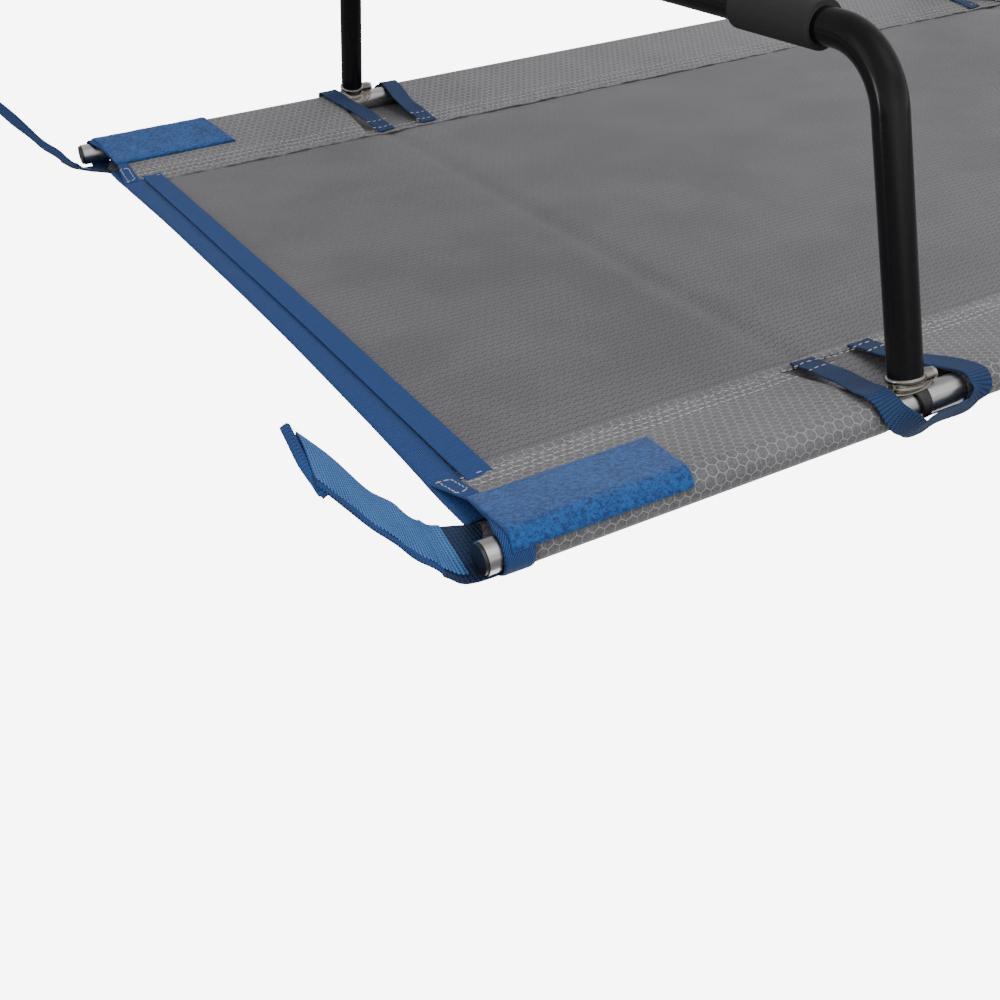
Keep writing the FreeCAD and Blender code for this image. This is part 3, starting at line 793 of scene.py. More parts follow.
CUTS = [cut_out(bow) for bow in STATIONS]
print("cut-outs", [[round(value) for value in cut] for cut in CUTS])


# %% [markdown]
# ## The bed as one grid
# Rows follow the section and columns run along the bed. The columns stop exactly at the
# cut-outs, so leaving out the faces between two of them gives each opening a clean edge.

# %% Bed cloth mesh
def puckers(x, side):
    """Small uneven gathers along a seam, from -1 to 1."""
    return (math.sin(x * 0.47 + side) + math.sin(x * 0.83 + 2.1 * side)
            + 0.7 * math.sin(x * 0.21 + 4.0)) / 2.7


def swell(x, y):
    """Slow unevenness of a stretched cloth, from about -1 to 1."""
    return (math.sin(x * 0.011 + 1.3) * math.cos(y * 0.013) + 0.5 * math.sin(x * 0.031 - y * 0.017)
            + 0.35 * math.sin(x * 0.05 + y * 0.041 + 2.0)) / 1.85


def push_out(zone, inward, x, side):
    """How far the cloth stands off its plain section, in millimetres."""
    if zone == "panel":
        crease = sum(math.exp(-((x - station) / 7.0) ** 2) for station in STATIONS.values())
        near_seam = math.exp(-((inward - SEAM_IN) / 9.0) ** 2)
        taper = min(1.0, inward / 30.0)
        return taper * (1.9 * crease + 0.7 * swell(x, inward * side)) \
            + 0.75 * near_seam * puckers(x, side)
    if zone in ("flap", "hem"):
        near_seam = math.exp(-max(0.0, SEAM_IN - inward) / 13.0)
        middle = math.sin(math.pi * min(1.0, max(0.0, inward / SEAM_IN)))
        return 0.85 * near_seam * puckers(x + 3, side) + 0.5 * middle * swell(x * 4, side * 60)
    return 0.0


def edge_bow(inward):
    """How far the bed's end draws in towards the middle of its width."""
    return EDGE_BOW * max(0.0, 1 - ((HALF_BED - inward) / (HALF_BED - STRAIGHT_TO)) ** 2)


COLUMN_STEP = 6.5
edges = [-RAIL_END / MM + PANEL_START] + [v for cut in CUTS for v in cut]
edges.append(RAIL_END / MM - PANEL_START)
columns = []
for start, end in zip(edges, edges[1:]):
    count = max(2, round((end - start) / COLUMN_STEP))
    columns += list(np.linspace(start, end, count, endpoint=False))
columns.append(edges[-1])

points, cloth_map = [], []
for side, (inward, down, zone, tilt), length in section:
    out_in, out_down = -math.sin(tilt), -math.cos(tilt)
    on_panel = zone == "panel"
    start_shift = (SLEEVE_START - PANEL_START) * (
        1 - min(1.0, max(0.0, inward) / 24) if on_panel else 1.0)
    bow_in = edge_bow(inward) if on_panel else 0.0
    for x in columns:
        stand = push_out(zone, inward, x, side)
        distance = RAIL_END / MM - PANEL_START - abs(x)
        slide = (start_shift + bow_in) * math.exp(-distance / END_FADE)
        shifted = x - math.copysign(slide, x)
        y = side * (HALF_BED - (inward + out_in * stand))
        z = RAIL_Z / MM - (down + out_down * stand)
        points.append((shifted * MM, y * MM, z * MM))
        cloth_map.append((length * MM, shifted * MM))

width = len(columns)
faces = []
for r in range(len(section) - 1):
    rows = section[r], section[r + 1]
    open_row = all(zone == "flap" or (zone == "wrap" and tilt >= CUT_ANGLE)
                   for _, (_, _, zone, tilt), _ in rows)
    for c in range(width - 1):
        middle = (columns[c] + columns[c + 1]) / 2
        if open_row and any(start < middle < end for start, end in CUTS):
            continue
        k = r * width + c
        faces.append((k, k + width, k + width + 1, k + 1))
bed = link_mesh("bed_cloth", points, faces, [back_cloth, face_cloth], cloth_map)
thick = bed.modifiers.new("thickness", "SOLIDIFY")
thick.thickness = SHEET_WALL * MM
thick.offset = 0
thick.material_offset = 1
thick.use_quality_normals = True
bed = bake_modifiers(bed)
attach(bed, "bed", "bed_fabric", "sleeping_panel", "sleeve_left", "sleeve_right")
# The cut is one rectangle; the three leg openings on each side are taken out of it.
OPENING_WIDTH = SEAM_IN + WRAP_R * (math.pi + FLAP_ANGLE - CUT_ANGLE)
flat_width = 2 * lengths[-1] * MM
flat_length = 2 * RAIL_END - 2 * PANEL_START * MM
opening_area = 2 * sum(end - start for start, end in CUTS) * OPENING_WIDTH * MM * MM
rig.sheet(bed, flat=(flat_width, flat_length), held="stretched",
         rests_on=["rail_left_head", "rail_right_head"],
         area=flat_width * flat_length - opening_area)
print("bed cloth", len(bed.data.polygons), "faces; flat", round(flat_width, 3), "x",
      round(flat_length, 3), "m")

# %% [markdown]
# ## Ribbons
# Straps, tapes and bindings are all flat strips that follow a route. A ribbon takes route
# points and, at each, the direction of its width; the face direction follows from those.
# Its edges are thinner than its middle, as a woven edge is, and its own map runs across
# and along it, so the ribs turn with the strap.

# %% Ribbon maker
RIBBON_COLUMNS = (-1.0, -0.95, -0.82, -0.5, -0.18, 0.18, 0.5, 0.82, 0.95, 1.0)
EDGE_PART = 0.45


def ribbon(name, rows, wall, material, end=-1, side=1, step=2.0, cup=0.0, ripple=0.0):
    """A closed strip through rows of (along, in, down, width direction x3, width), in mm.

    cup bends the strip across its width, and ripple waves its long edges.
    """
    route = smooth_route(rows, step)
    centres = route[:, :3]
    tangents = np.gradient(centres, axis=0)
    tangents /= np.linalg.norm(tangents, axis=1)[:, None]
    wide = route[:, 3:6]
    wide = wide - tangents * np.sum(wide * tangents, axis=1)[:, None]
    wide /= np.linalg.norm(wide, axis=1)[:, None]
    normals = np.cross(tangents, wide)
    gone = np.concatenate(([0], np.cumsum(np.linalg.norm(np.diff(centres, axis=0), axis=1))))
    top, bottom, spots = [], [], []
    for row in range(len(route)):
        half_width = route[row, 6] / 2
        for column in RIBBON_COLUMNS:
            edge = abs(column) ** 3 * math.copysign(1, column)
            wave = ripple * edge * math.sin(gone[row] * 0.19 + 1.7 * math.sin(gone[row] * 0.05))
            lift = cup * column * column + wave
            base = centres[row] + wide[row] * column * half_width + normals[row] * lift
            thin = wall / 2 * (EDGE_PART if abs(column) == 1.0 else 1.0)
            top.append(place(base + normals[row] * thin, end, side))
            bottom.append(place(base - normals[row] * thin, end, side))
            spots.append((column * half_width * MM, gone[row] * MM))
    faces = strip_faces(len(route) - 1, len(RIBBON_COLUMNS) - 1)
    made = link_mesh(name, top + bottom, faces, [material], spots + spots)
    return turn_outwards(made)


def flap_point(inward, stand):
    """(in, down) on the sleeve's lower layer, stand millimetres off the cloth's middle."""
    base_in, base_down = WRAP_R * math.sin(FLAP_ANGLE), WRAP_R * math.cos(FLAP_ANGLE)
    fall = (HEM_DOWN - base_down) / (SEAM_IN - base_in)
    steep = math.hypot(1.0, fall)
    return (inward - stand * fall / steep,
            base_down + (inward - base_in) * fall + stand / steep)


ALONG = (1.0, 0.0, 0.0)
print("ribbon maker ready")

# %% [markdown]
# ## Webbing round the cut-outs
# Each cut-out is edged by one loop of webbing. It is sewn down beside the seam, runs out
# over the sleeve and round the rail, turns along the outer side of the rail as a free
# lip, and comes back up the other side. The strip lies on the cloth except beside the
# leg, where it rides over the end of the fitting.

# %% Cut-out webbing
EDGE_WEBBING = 14.5
WEBBING_WALL = 1.1


def webbing_rows(left, right):
    """Route of one loop; left and right are the middles of its two strips along the rail."""
    def on_flap(along, inward, stand=1.2):
        return (along, *flap_point(inward, stand))

    lip = (0.0, -0.53, 0.85)
    middle = (left + right) / 2
    rows = [
        (*on_flap(left + 11, 77, 1.5), *ALONG), (*on_flap(left + 9, 60), *ALONG),
        (*on_flap(left + 4, 36, 1.5), *ALONG), (*on_flap(left - 3, 16, 2.4), *ALONG),
        (left - 8.0, 2, 12.3, *ALONG), (left - 8.0, -6.2, 10.8, *ALONG),
        (left - 5.0, -11.8, 4.0, 0.98, -0.15, 0.1), (left + 2.5, -13.2, -2.0, 0.9, -0.3, 0.35),
        (left + 8.0, -12.6, -6.2, 0.55, -0.42, 0.68), (left + 15, -11.4, -6.8, *lip),
        (middle, -10.8, -5.4, *lip), (right - 11, -11.0, -4.6, *lip),
        (right - 4.0, -11.9, -3.4, -0.6, -0.42, 0.68),
        (right - 0.5, -12.3, 0.0, -0.93, -0.3, 0.3), (right + 3.5, -11.4, 4.5, -1.0, 0.0, 0.0),
        (right + 4.5, -5.8, 10.0, -1.0, 0.0, 0.0), (*on_flap(right + 3.5, 7, 1.4), -1.0, 0.0, 0.0),
        (*on_flap(right + 1, 34), -1.0, 0.0, 0.0), (*on_flap(right + 3, 60), -1.0, 0.0, 0.0),
        (*on_flap(right + 4, 77, 1.5), -1.0, 0.0, 0.0)]
    return [(*row, EDGE_WEBBING) for row in rows]


LOOP_PLACES = []
for bow, end in (("head", -1), ("middle", -1), ("foot", 1)):
    station = RAIL_END / MM - abs(STATIONS[bow])
    if bow == "middle":
        LOOP_PLACES.append((end, station, MIDDLE_CUT, MIDDLE_CUT, -3.5, 6.5))
    else:
        LOOP_PLACES.append((end, station, CUT_LEFT, CUT_RIGHT, 6.0, 1.5))


def join(pieces, name):
    """One object from several; they share one body and one finish."""
    work = bmesh.new()
    for piece in pieces:
        work.from_mesh(piece.data)
    mesh = bpy.data.meshes.new(name)
    work.to_mesh(mesh)
    work.free()
    for material in pieces[0].data.materials:
        mesh.materials.append(material)
    for piece in pieces:
        bpy.data.objects.remove(piece)
    return show(bpy.data.objects.new(name, mesh))


for side_name, side in SIDES.items():
    loops = []
    for end, station, before, after, left_off, right_off in LOOP_PLACES:
        rows = webbing_rows(station - before + left_off, station + after + right_off)
        loops.append(ribbon("loop", rows, WEBBING_WALL, edge_webbing, end, side,
                            1.6, 0.25, 0.35))
    webbing = join(loops, "cutout_edging_" + side_name)
    attach(webbing, "bed", "blue_webbing", "cutout_webbing_" + side_name)
    print(webbing.name, len(webbing.data.polygons), "faces")

# %% [markdown]
# ## Corner straps
# A strap is one length of 38 mm webbing with hook tape on its inner face. In the CAD it
# is a sewn root, a short link and a tail with two hinges. Here it is split at the middle
# of the link: the first half bends across the first hinge and the second across the
# second, so the webbing curls instead of breaking. Stored half open it hangs in a soft
# curve, and twists a little because only its outer edge is pulled.

# %% Corner straps
STRAP_WIDTH = 38.0
STRAP_WALL = 1.5
fold_at = {j["name"]: Vector(j["pos_m"]) for j in frame["joints"] if j["name"].startswith("strap")}


STRAP_ROUTE = [
    (24, 18.0, -10.2, 0), (14, 18.0, -9.6, 4), (4, 18.0, -8.2, 9), (-4, 18.0, -6.8, 12),
    (-9.5, 18.0, -4.6, 14), (-15.5, 18.0, 0.8, 16), (-23.5, 18.0, 9.6, 17),
    (-33.5, 18.0, 21.0, 17), (-44.0, 17.8, 34.0, 18), (-54.0, 17.6, 48.0, 19),
    (-61.0, 17.5, 57.4, 20), (-65.0, 17.5, 62.4, 20)]
HEM_AT = (-65.6, 17.5, 62.8)
HEM_TWIST = math.radians(20)
HEM_THICK = 3.4
SPLIT = 5
TAPE_FROM = 3
TAPE_STAND = 1.25
TAPE_WIDTH = 33.5
TAPE_WALL = 0.8
TAPE_SHIFT = 2.0
FOLD_SPAN = (0.003, 0.006)  # metres before and after the first hinge that bend
CURL_SPAN = (0.007, 0.009)  # and the same for the second


def strap_rows(points, width, shift=0.0):
    """Rows of (along, in, down, twist degrees) made into ribbon rows; shift moves them in."""
    rows = []
    for along, inward, down, twist in points:
        angle = math.radians(twist)
        rows.append((along, inward + shift * math.cos(angle), down + shift * math.sin(angle),
                     0.0, math.cos(angle), math.sin(angle), width))
    return rows


def tape_points(points):
    """The same route, moved onto the strap's inner face."""
    moved = []
    for index, (along, inward, down, twist) in enumerate(points):
        before = points[max(0, index - 1)]
        after = points[min(len(points) - 1, index + 1)]
        run, fall = after[0] - before[0], after[2] - before[2]
        length = math.hypot(run, fall)
        moved.append((along + TAPE_STAND * fall / length, inward,
                      down - TAPE_STAND * run / length, twist))
    return moved


def hem_rows():
    """The folded end, a thick bar across the strap, as ribbon rows."""
    rows = []
    across = (0.0, math.cos(HEM_TWIST), math.sin(HEM_TWIST))
    for share in (-1.0, -0.97, -0.85, -0.4, 0.0, 0.4, 0.85, 0.97, 1.0):
        reach_out = share * (STRAP_WIDTH / 2 + 0.4)
        sag = 0.9 * (1 - share * share)
        slim = 0.55 if abs(share) == 1.0 else (0.9 if abs(share) == 0.97 else 1.0)
        rows.append((HEM_AT[0] - sag * 0.5, HEM_AT[1] + across[1] * reach_out,
                     HEM_AT[2] + across[2] * reach_out - sag, -0.57, 0.0, 0.82,
                     (HEM_THICK + 1.6) * slim))
    return rows


for end_name, side_name in CORNERS:
    corner_name = end_name + "_" + side_name
    end, side = ENDS[end_name], SIDES[side_name]
    fold, curl = fold_at["strap_fold_" + corner_name], fold_at["strap_curl_" + corner_name]
    link_body, tail_body = "strap_fold_" + corner_name, "strap_end_" + corner_name
    toward = Vector((end, 0, -1)).normalized()
    first_span = (fold - Vector((end * FOLD_SPAN[0], 0, 0)), fold + toward * FOLD_SPAN[1])
    second_span = (curl - toward * CURL_SPAN[0], curl + toward * CURL_SPAN[1])
    root = ribbon("strap_root_sewn_" + corner_name,
                  strap_rows(STRAP_ROUTE[:SPLIT + 1], STRAP_WIDTH), STRAP_WALL,
                  open_webbing, end, side, 1.6)
    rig.slot(root, "blue_webbing")
    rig.replaces(root, "strap_root_" + corner_name, "strap_link_" + corner_name)
    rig.blend(root, "bed", link_body, *first_span)
    start_tape = ribbon("strap_tape_start_" + corner_name,
                        strap_rows(tape_points(STRAP_ROUTE[TAPE_FROM:SPLIT + 1]), TAPE_WIDTH,
                                   TAPE_SHIFT), TAPE_WALL, hook_blue, end, side, 1.6, 0.0, 0.15)
    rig.slot(start_tape, "hook_tape")
    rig.blend(start_tape, "bed", link_body, *first_span)
    length = ribbon("strap_length", strap_rows(STRAP_ROUTE[SPLIT:], STRAP_WIDTH), STRAP_WALL,
                    blue_webbing, end, side, 1.6, -0.5, 0.5)
    hem = ribbon("strap_hem", hem_rows(), HEM_THICK, blue_webbing, end, side, 0.9, -0.5, 0.25)
    tail = join([length, hem], "strap_tail_sewn_" + corner_name)
    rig.slot(tail, "blue_webbing")
    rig.replaces(tail, "strap_tail_" + corner_name)
    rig.blend(tail, link_body, tail_body, *second_span)
    tape = ribbon("hook_tape_sewn_" + corner_name,
                  strap_rows(tape_points(STRAP_ROUTE[SPLIT:]), TAPE_WIDTH, TAPE_SHIFT), TAPE_WALL,
                  hook_blue, end, side, 1.6, 0.3, 0.7)
    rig.slot(tape, "hook_tape")
    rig.replaces(tape, "hook_tape_" + corner_name)
    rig.blend(tape, link_body, tail_body, *second_span)
print("straps ready, last fold at", [round(value, 4) for value in fold])

# %% [markdown]
# ## Bindings along the bed's ends
# Each end of the bed is edged twice: a binding folded over the raw edge, and a strip of
# webbing laid beside it that takes the pull between the corners. Both follow the cloth,
# which draws in a little at the middle of the bed, and both go under the sleeves.

# %% End bindings
TRIM_WIDTH = 15.2
TRIM_WALL = 1.2
TRIM_GAP = 0.9
TUCK_IN = 50.0
FOLD_TUCK = 37.0


def panel_row(distance, across, end, stand):
    """A point on the bed's lower face, in from its end edge and across from the left rail."""
    inward = min(across, 2 * HALF_BED - across)
    along = PANEL_START + distance + edge_bow(inward) * math.exp(-distance / END_FADE)
    x = end * (RAIL_END / MM - along)
    side = 1 if across < HALF_BED else -1
    lift = push_out("panel", inward, x, side)
    return along, across, -WRAP_R + SHEET_WALL / 2 - lift + stand


def across_bed(distance, stand, tuck, end):
    """Middle line of a strip that crosses the bed, as ribbon rows."""
    rows = []
    for across in np.linspace(tuck, 2 * HALF_BED - tuck, 60):
        rows.append((*panel_row(distance, across, end, stand), *ALONG, TRIM_WIDTH))
    return rows


def folded_binding(name, end):
    """A closed sheet folded round the bed's edge, seen as a U from the side."""
    reach_under, wall = TRIM_WIDTH, 0.7  # how far the fold reaches, and its thickness
    below, above = 0.95, -0.95 - SHEET_WALL
    outline = [(reach_under, below), (reach_under * 0.6, below + 0.12), (1.5, below + 0.1),
               (-0.2, below - 0.35), (-1.0, (below + above) / 2), (-0.2, above + 0.35),
               (1.5, above - 0.05), (reach_under * 0.6, above), (reach_under, above)]
    stations = np.linspace(FOLD_TUCK, 2 * HALF_BED - FOLD_TUCK, 180)
    gone = [0.0]
    for (a, b), (c, d) in zip(outline, outline[1:]):
        gone.append(gone[-1] + math.hypot(c - a, d - b))
    made, spots = [], []
    for across in stations:
        for (distance, stand), length in zip(outline, gone):
            made.append(place(panel_row(distance, across, end, stand), end, 1))
            spots.append((length * MM, across * MM))
    n = len(outline)
    faces = [(r * n + c, r * n + c + 1, (r + 1) * n + c + 1, (r + 1) * n + c)
             for r in range(len(stations) - 1) for c in range(n - 1)]
    made = link_mesh(name, made, faces, [blue_binding], spots)
    turn_outwards(made)
    thick = made.modifiers.new("thickness", "SOLIDIFY")
    thick.thickness = wall * MM
    thick.offset = 0
    return bake_modifiers(made)


for end_name, end in ENDS.items():
    binding = folded_binding(end_name + "_folded_binding", end)
    attach(binding, "bed", "blue_binding", end_name + "_edge_binding")
    strip = ribbon(end_name + "_end_webbing",
                   across_bed(TRIM_WIDTH * 1.5 + TRIM_GAP, 1.35, TUCK_IN - 3, end),
                   TRIM_WALL, blue_binding, end, 1, 4.0, -0.35)
    attach(strip, "bed", "blue_webbing", end_name + "_edge_webbing")
    print(binding.name, len(binding.data.polygons), "faces")

# %% [markdown]
# ## Pieces that lie on the sleeve
# The mouth binding and the loop pad both follow the sleeve: over its sloping underside
# and then round the rail. One maker lays a closed slab on that path. Its two ends may
# differ, so a piece can lie a little crooked, as sewn pieces do.

# %% Slab on the sleeve
FLAP_LENGTH = (SEAM_IN - WRAP_R * math.sin(FLAP_ANGLE)) / math.cos(FLAP_ANGLE)
WRAP_LENGTH = WRAP_R * (math.pi + FLAP_ANGLE)


def on_sleeve(distance, stand):
    """(in, down) at a distance from the seam, over the flap, round the rail, onto the bed."""
    if distance < FLAP_LENGTH:
        return flap_point(SEAM_IN - distance * math.cos(FLAP_ANGLE), stand)
    if distance < FLAP_LENGTH + WRAP_LENGTH:
        angle = (math.pi + FLAP_ANGLE) - (distance - FLAP_LENGTH) / WRAP_R
        reach_out = WRAP_R + stand
        return -reach_out * math.sin(angle), -reach_out * math.cos(angle)
    return distance - FLAP_LENGTH - WRAP_LENGTH, -WRAP_R - stand


def slab(name, outline, stand, wall, material, end, side, wave=0.0, steps=(30, 26)):
    """A closed slab; outline gives (start, finish along the rail) at a share of its run."""
    first, last, edges = outline
    columns, rows = steps
    top, bottom, spots = [], [], []
    for r in range(rows + 1):
        part = r / rows
        distance = first + (last - first) * part
        start, finish = edges(part)
        for c in range(columns + 1):
            share = c / columns
            rim = min(share, 1 - share) * (finish - start)
            rim = min(rim, min(part, 1 - part) * (last - first))
            round_off = 1 - (1 - min(1.0, rim / 1.6)) ** 2 * 0.75
            along = start + (finish - start) * share
            lift = wave * (math.sin(along * 0.33 + distance * 0.21) + math.sin(along * 0.13))
            lift *= 1 - round_off * 0.3
            top.append(place((along, *on_sleeve(distance, stand + wall / 2 * round_off + lift)),
                             end, side))
            bottom.append(place((along, *on_sleeve(distance, stand - wall / 2 + lift * 0.2)),
                                end, side))
            spots.append((distance * MM, along * MM))
    faces = strip_faces(rows, columns)
    return turn_outwards(link_mesh(name, top + bottom, faces, [material], spots + spots))


print("flap", round(FLAP_LENGTH), "mm, wrap", round(WRAP_LENGTH), "mm")

# %% Mouth bindings and loop pads
PAD_FROM = SEAM_IN - 44
PAD_TO = FLAP_LENGTH + 12.0
MOUTH_RUN = FLAP_LENGTH + WRAP_LENGTH + 25


def mouth_edges(part):
    distance = part * MOUTH_RUN - 1
    left = np.interp(distance, (0, 31, 60, 74, 90), (13.0, 17.0, 12.5, 7.5, 6.0))
    right = np.interp(distance, (0, 31, 74), (26.0, 25.0, 21.3))
    return float(left), float(right)


def pad_edges(part):
    return 17.0 - 7.0 * part, 117.0 - 12.0 * part


mouths = []
for end_name, side_name in CORNERS:
    end, side = ENDS[end_name], SIDES[side_name]
    mouths.append(slab("mouth", (-1.0, FLAP_LENGTH + WRAP_LENGTH + 24, mouth_edges), 1.05, 1.1,
                       blue_binding, end, side, 0.06, (12, 90)))
    pad = slab("loop_pad_sewn_" + end_name + "_" + side_name, (PAD_FROM, PAD_TO, pad_edges),
               1.75, 1.9, loop_pile, end, side, 0.12, (110, 60))
    attach(pad, "bed", "loop_pile", "loop_pad_" + end_name + "_" + side_name)
mouth_piece = join(mouths, "mouth_edging")
attach(mouth_piece, "bed", "blue_binding", "mouth_bindings")
print("pads and mouths ready")

# %% [markdown]
# ## Finishes on the carried CAD parts
# Rails, pegs, plugs, rivets and floor grips keep their CAD mesh and only change material.

# %% Carried parts
CARRIED = {"rail_ferrules": satin_tube, "end_plugs": plug_black}
for side_name in SIDES:
    for part_name in ("head", "middle", "foot"):
        CARRIED["rail_" + side_name + "_" + part_name] = satin_tube
for bow in STATIONS:
    CARRIED[bow + "_leg_ferrule"] = black_coat
    CARRIED[bow + "_neck_rivets"] = rivet_metal
    CARRIED[bow + "_floor_grips"] = grip_black
for node_name, finish in CARRIED.items():
    mesh = bpy.data.objects[node_name].data
    mesh.materials.clear()
    mesh.materials.append(finish)
print(len(CARRIED), "carried parts finished")

# %% [markdown]
# ## Legs
# A bow is one tube bent twice, made in two halves that a ferrule joins on the floor. The
# CAD mesh has too few sides for a gloss coat, which shows every facet as a stripe, so the
# tube is swept again round the same centre line with more sides.

# %% Swept tubes
LEG_R = 9.0
LEG_LEAN = math.radians(13.5)
LEG_GAP = 16.0
BEND_R = 40.0
FLOOR_AXIS = 11.6


def sweep(name, centres, rings, material, sides=56):
    """A closed tube; rings gives (index of the centre, radius) from one end to the other."""
    centres = np.array(centres, float)
    tangents = np.gradient(centres, axis=0)
    tangents /= np.linalg.norm(tangents, axis=1)[:, None]
    points = [centres[rings[0][0]]]
    for index, radius in rings:
        tangent = Vector(tangents[index])
        first = Vector((1, 0, 0)) if abs(tangent.x) < 0.9 else Vector((0, 0, 1))
        first = (first - tangent * first.dot(tangent)).normalized()
        second = tangent.cross(first)
        for k in range(sides):
            angle = 2 * math.pi * k / sides
            points.append(Vector(centres[index]) + (first * math.cos(angle)
                                                    + second * math.sin(angle)) * radius)
    points.append(centres[rings[-1][0]])
    faces = loft_faces(len(rings), sides)
    made = link_mesh(name, [Vector(point) * MM for point in points], faces, [material])
    turn_outwards(made)
    made.data.set_sharp_from_angle(angle=math.radians(50))
    return made


def leg_line(station, side):
    """Centre line of one half bow, from under the rail to the middle of the floor tube."""
    lean = math.tan(LEG_LEAN)
    top = (HALF_BED - LEG_GAP * math.sin(LEG_LEAN), RAIL_Z / MM - LEG_GAP * math.cos(LEG_LEAN))
    corner_y = HALF_BED - (RAIL_Z / MM - FLOOR_AXIS) * lean
    turn = math.pi / 2 - LEG_LEAN
    reach = BEND_R * math.tan(turn / 2)
    start = (corner_y + reach * math.sin(LEG_LEAN), FLOOR_AXIS + reach * math.cos(LEG_LEAN))
    line = [np.array(top) + (np.array(start) - top) * t for t in np.linspace(0, 1, 8)]
    middle = (corner_y - reach, FLOOR_AXIS + BEND_R)
    for t in np.linspace(0, 1, 20)[1:]:
        angle = LEG_LEAN + turn * t
        line.append(np.array((middle[0] + BEND_R * math.cos(angle),
                              middle[1] - BEND_R * math.sin(angle))))
    line += [np.array((y, FLOOR_AXIS)) for y in np.linspace(corner_y - reach, 0, 8)[1:]]
    return [(station, side * y, z) for y, z in line]


for bow, station in STATIONS.items():
    for side_name, side in SIDES.items():
        centres = leg_line(station, side)
        rings = [(0, LEG_R - 0.5), (0, LEG_R - 0.05)] + [
            (index, LEG_R) for index in range(len(centres))]
        leg = sweep(bow + "_leg_tube_" + side_name, centres, rings, black_coat)
        attach(leg, bow + "_bow", "leg_tube", bow + "_leg_" + side_name)
print("six leg halves,", len(leg.data.polygons), "faces each")

# %% [markdown]
# ## Cast fittings
# Where a leg meets its rail there is a bright casting. A collar stands under the tube, its
# flanks draw in to a waist, and it spreads again into a saddle with two lips that grip
# the rail. A stub on the side towards the middle carries the rivet's head. The saddle's
# rim lies on the rail, so the loft is drawn in angles round the rail and not in heights.

# %% Saddles
SADDLE_SEAT = 8.35
RIM_STEPS = 72
SADDLE_MIDDLE = math.radians(-30)
SADDLE_HALF_TURN = math.radians(60)
SADDLE_HALF_LENGTH = 16.0


def leg_frame(station, side):
    """Where the leg's axis crosses the rail's, and the leg's direction, in the row frame."""
    return (Vector((station, side * HALF_BED, RAIL_Z / MM)),
            Vector((0, -side * math.sin(LEG_LEAN), -math.cos(LEG_LEAN))))


def round_rail(station, side, along, angle, radius):
    """A point round the rail; angle runs from straight down towards the outer side."""
    return Vector((station + along, side * (HALF_BED + radius * math.sin(angle)),
                   RAIL_Z / MM - radius * math.cos(angle)))


def saddle(station, side, inward):
    origin, down = leg_frame(station, side)
    across = Vector((0, down.z * side, -down.y * side))
    rings = []

    def collar(drop, radius):
        rings.append([origin + down * drop + (Vector((1, 0, 0)) * math.cos(t)
                                              - across * math.sin(t)) * radius
                      for t in turns])

    def footprint(share, radius, lip=0.0):
        ring = []
        for t in turns:
            c, d = math.cos(t), math.sin(t)
            along = math.copysign(abs(c) ** 0.75, c) * SADDLE_HALF_LENGTH * share
            turn = math.copysign(abs(d) ** 0.85, d) * SADDLE_HALF_TURN * share
            swell_out = lip * math.cos(2 * t)
            angle = SADDLE_MIDDLE * min(1.0, share * 1.3) + turn
            ring.append(round_rail(station, side, along, angle, radius + swell_out))
        rings.append(ring)

    turns = [2 * math.pi * k / RIM_STEPS for k in range(RIM_STEPS)]
    for drop, radius in ((15.9, 3.0), (15.9, 9.4), (15.6, 9.9), (14.9, 10.2), (13.9, 10.2),
                         (13.2, 9.8), (12.6, 9.1)):
        collar(drop, radius)
    for share, radius, lip in ((0.50, 12.3, 0.3), (0.56, 12.25, 0.3), (0.61, 11.4, 0.1),
                               (0.74, 10.75, 0.0), (0.86, 10.6, 0.0), (0.93, 11.0, 0.0),
                               (0.975, 11.0, 0.0), (1.0, 10.3, 0.0), (1.0, 9.0, 0.0),
                               (0.985, SADDLE_SEAT, 0.0), (0.6, SADDLE_SEAT, 0.0),
                               (0.15, SADDLE_SEAT, 0.0)):
        footprint(share, radius, lip)
    points = [origin + down * 15.9] + [point for ring in rings for point in ring]
    points.append(round_rail(station, side, 0, SADDLE_MIDDLE * 0.15, SADDLE_SEAT))
    faces = loft_faces(len(rings), RIM_STEPS)
    body = turn_outwards(link_mesh("saddle", [point * MM for point in points], faces, [nickel]))
    bar = [origin + down * 12 + Vector((inward * along, 0, 0))
           for along in np.linspace(-4, 16, 21)]
    stub = [(0, 3.2), (0, 5.0), (6, 5.6), (11, 5.2), (14, 4.5), (17, 4.2), (19, 4.2),
            (20, 3.9), (20, 3.2)]
    return [body, sweep("stub", bar, stub, nickel, 32)]


LATCH_START, LATCH_TURN = 24, 100  # degrees round the rail
LATCH_R = 9.25


def latch(station, side, shift):
    """A hook that starts under the saddle's outer lip and tapers round the rail."""
    points, faces = [], []
    steps, around = 36, 16
    for i in range(steps + 1):
        part = i / steps
        angle = math.radians(LATCH_START + LATCH_TURN * part)
        taper = math.sqrt(max(0.0, min(1.0, (1 - part) / 0.12)))
        half_width = (4.2 - 1.9 * part) * max(0.25, taper)
        half_wall = (1.0 + 0.25 * math.sin(math.pi * part)) * max(0.3, taper)
        for k in range(around):
            t = 2 * math.pi * k / around
            c, d = math.cos(t), math.sin(t)
            along = math.copysign(abs(c) ** 0.7, c) * half_width
            lift = math.copysign(abs(d) ** 0.7, d) * half_wall
            drift = math.copysign(1.2 * part, shift)
            points.append(round_rail(station, side, shift + along + drift, angle,
                                     LATCH_R + lift) * MM)
    for i in range(steps):
        for k in range(around):
            after = (k + 1) % around
            a = i * around
            faces.append((a + k, a + after, a + around + after, a + around + k))
    faces.append(tuple(range(around)))
    faces.append(tuple(steps * around + k for k in range(around)))
    return turn_outwards(link_mesh("latch", points, faces, [latch_black]))


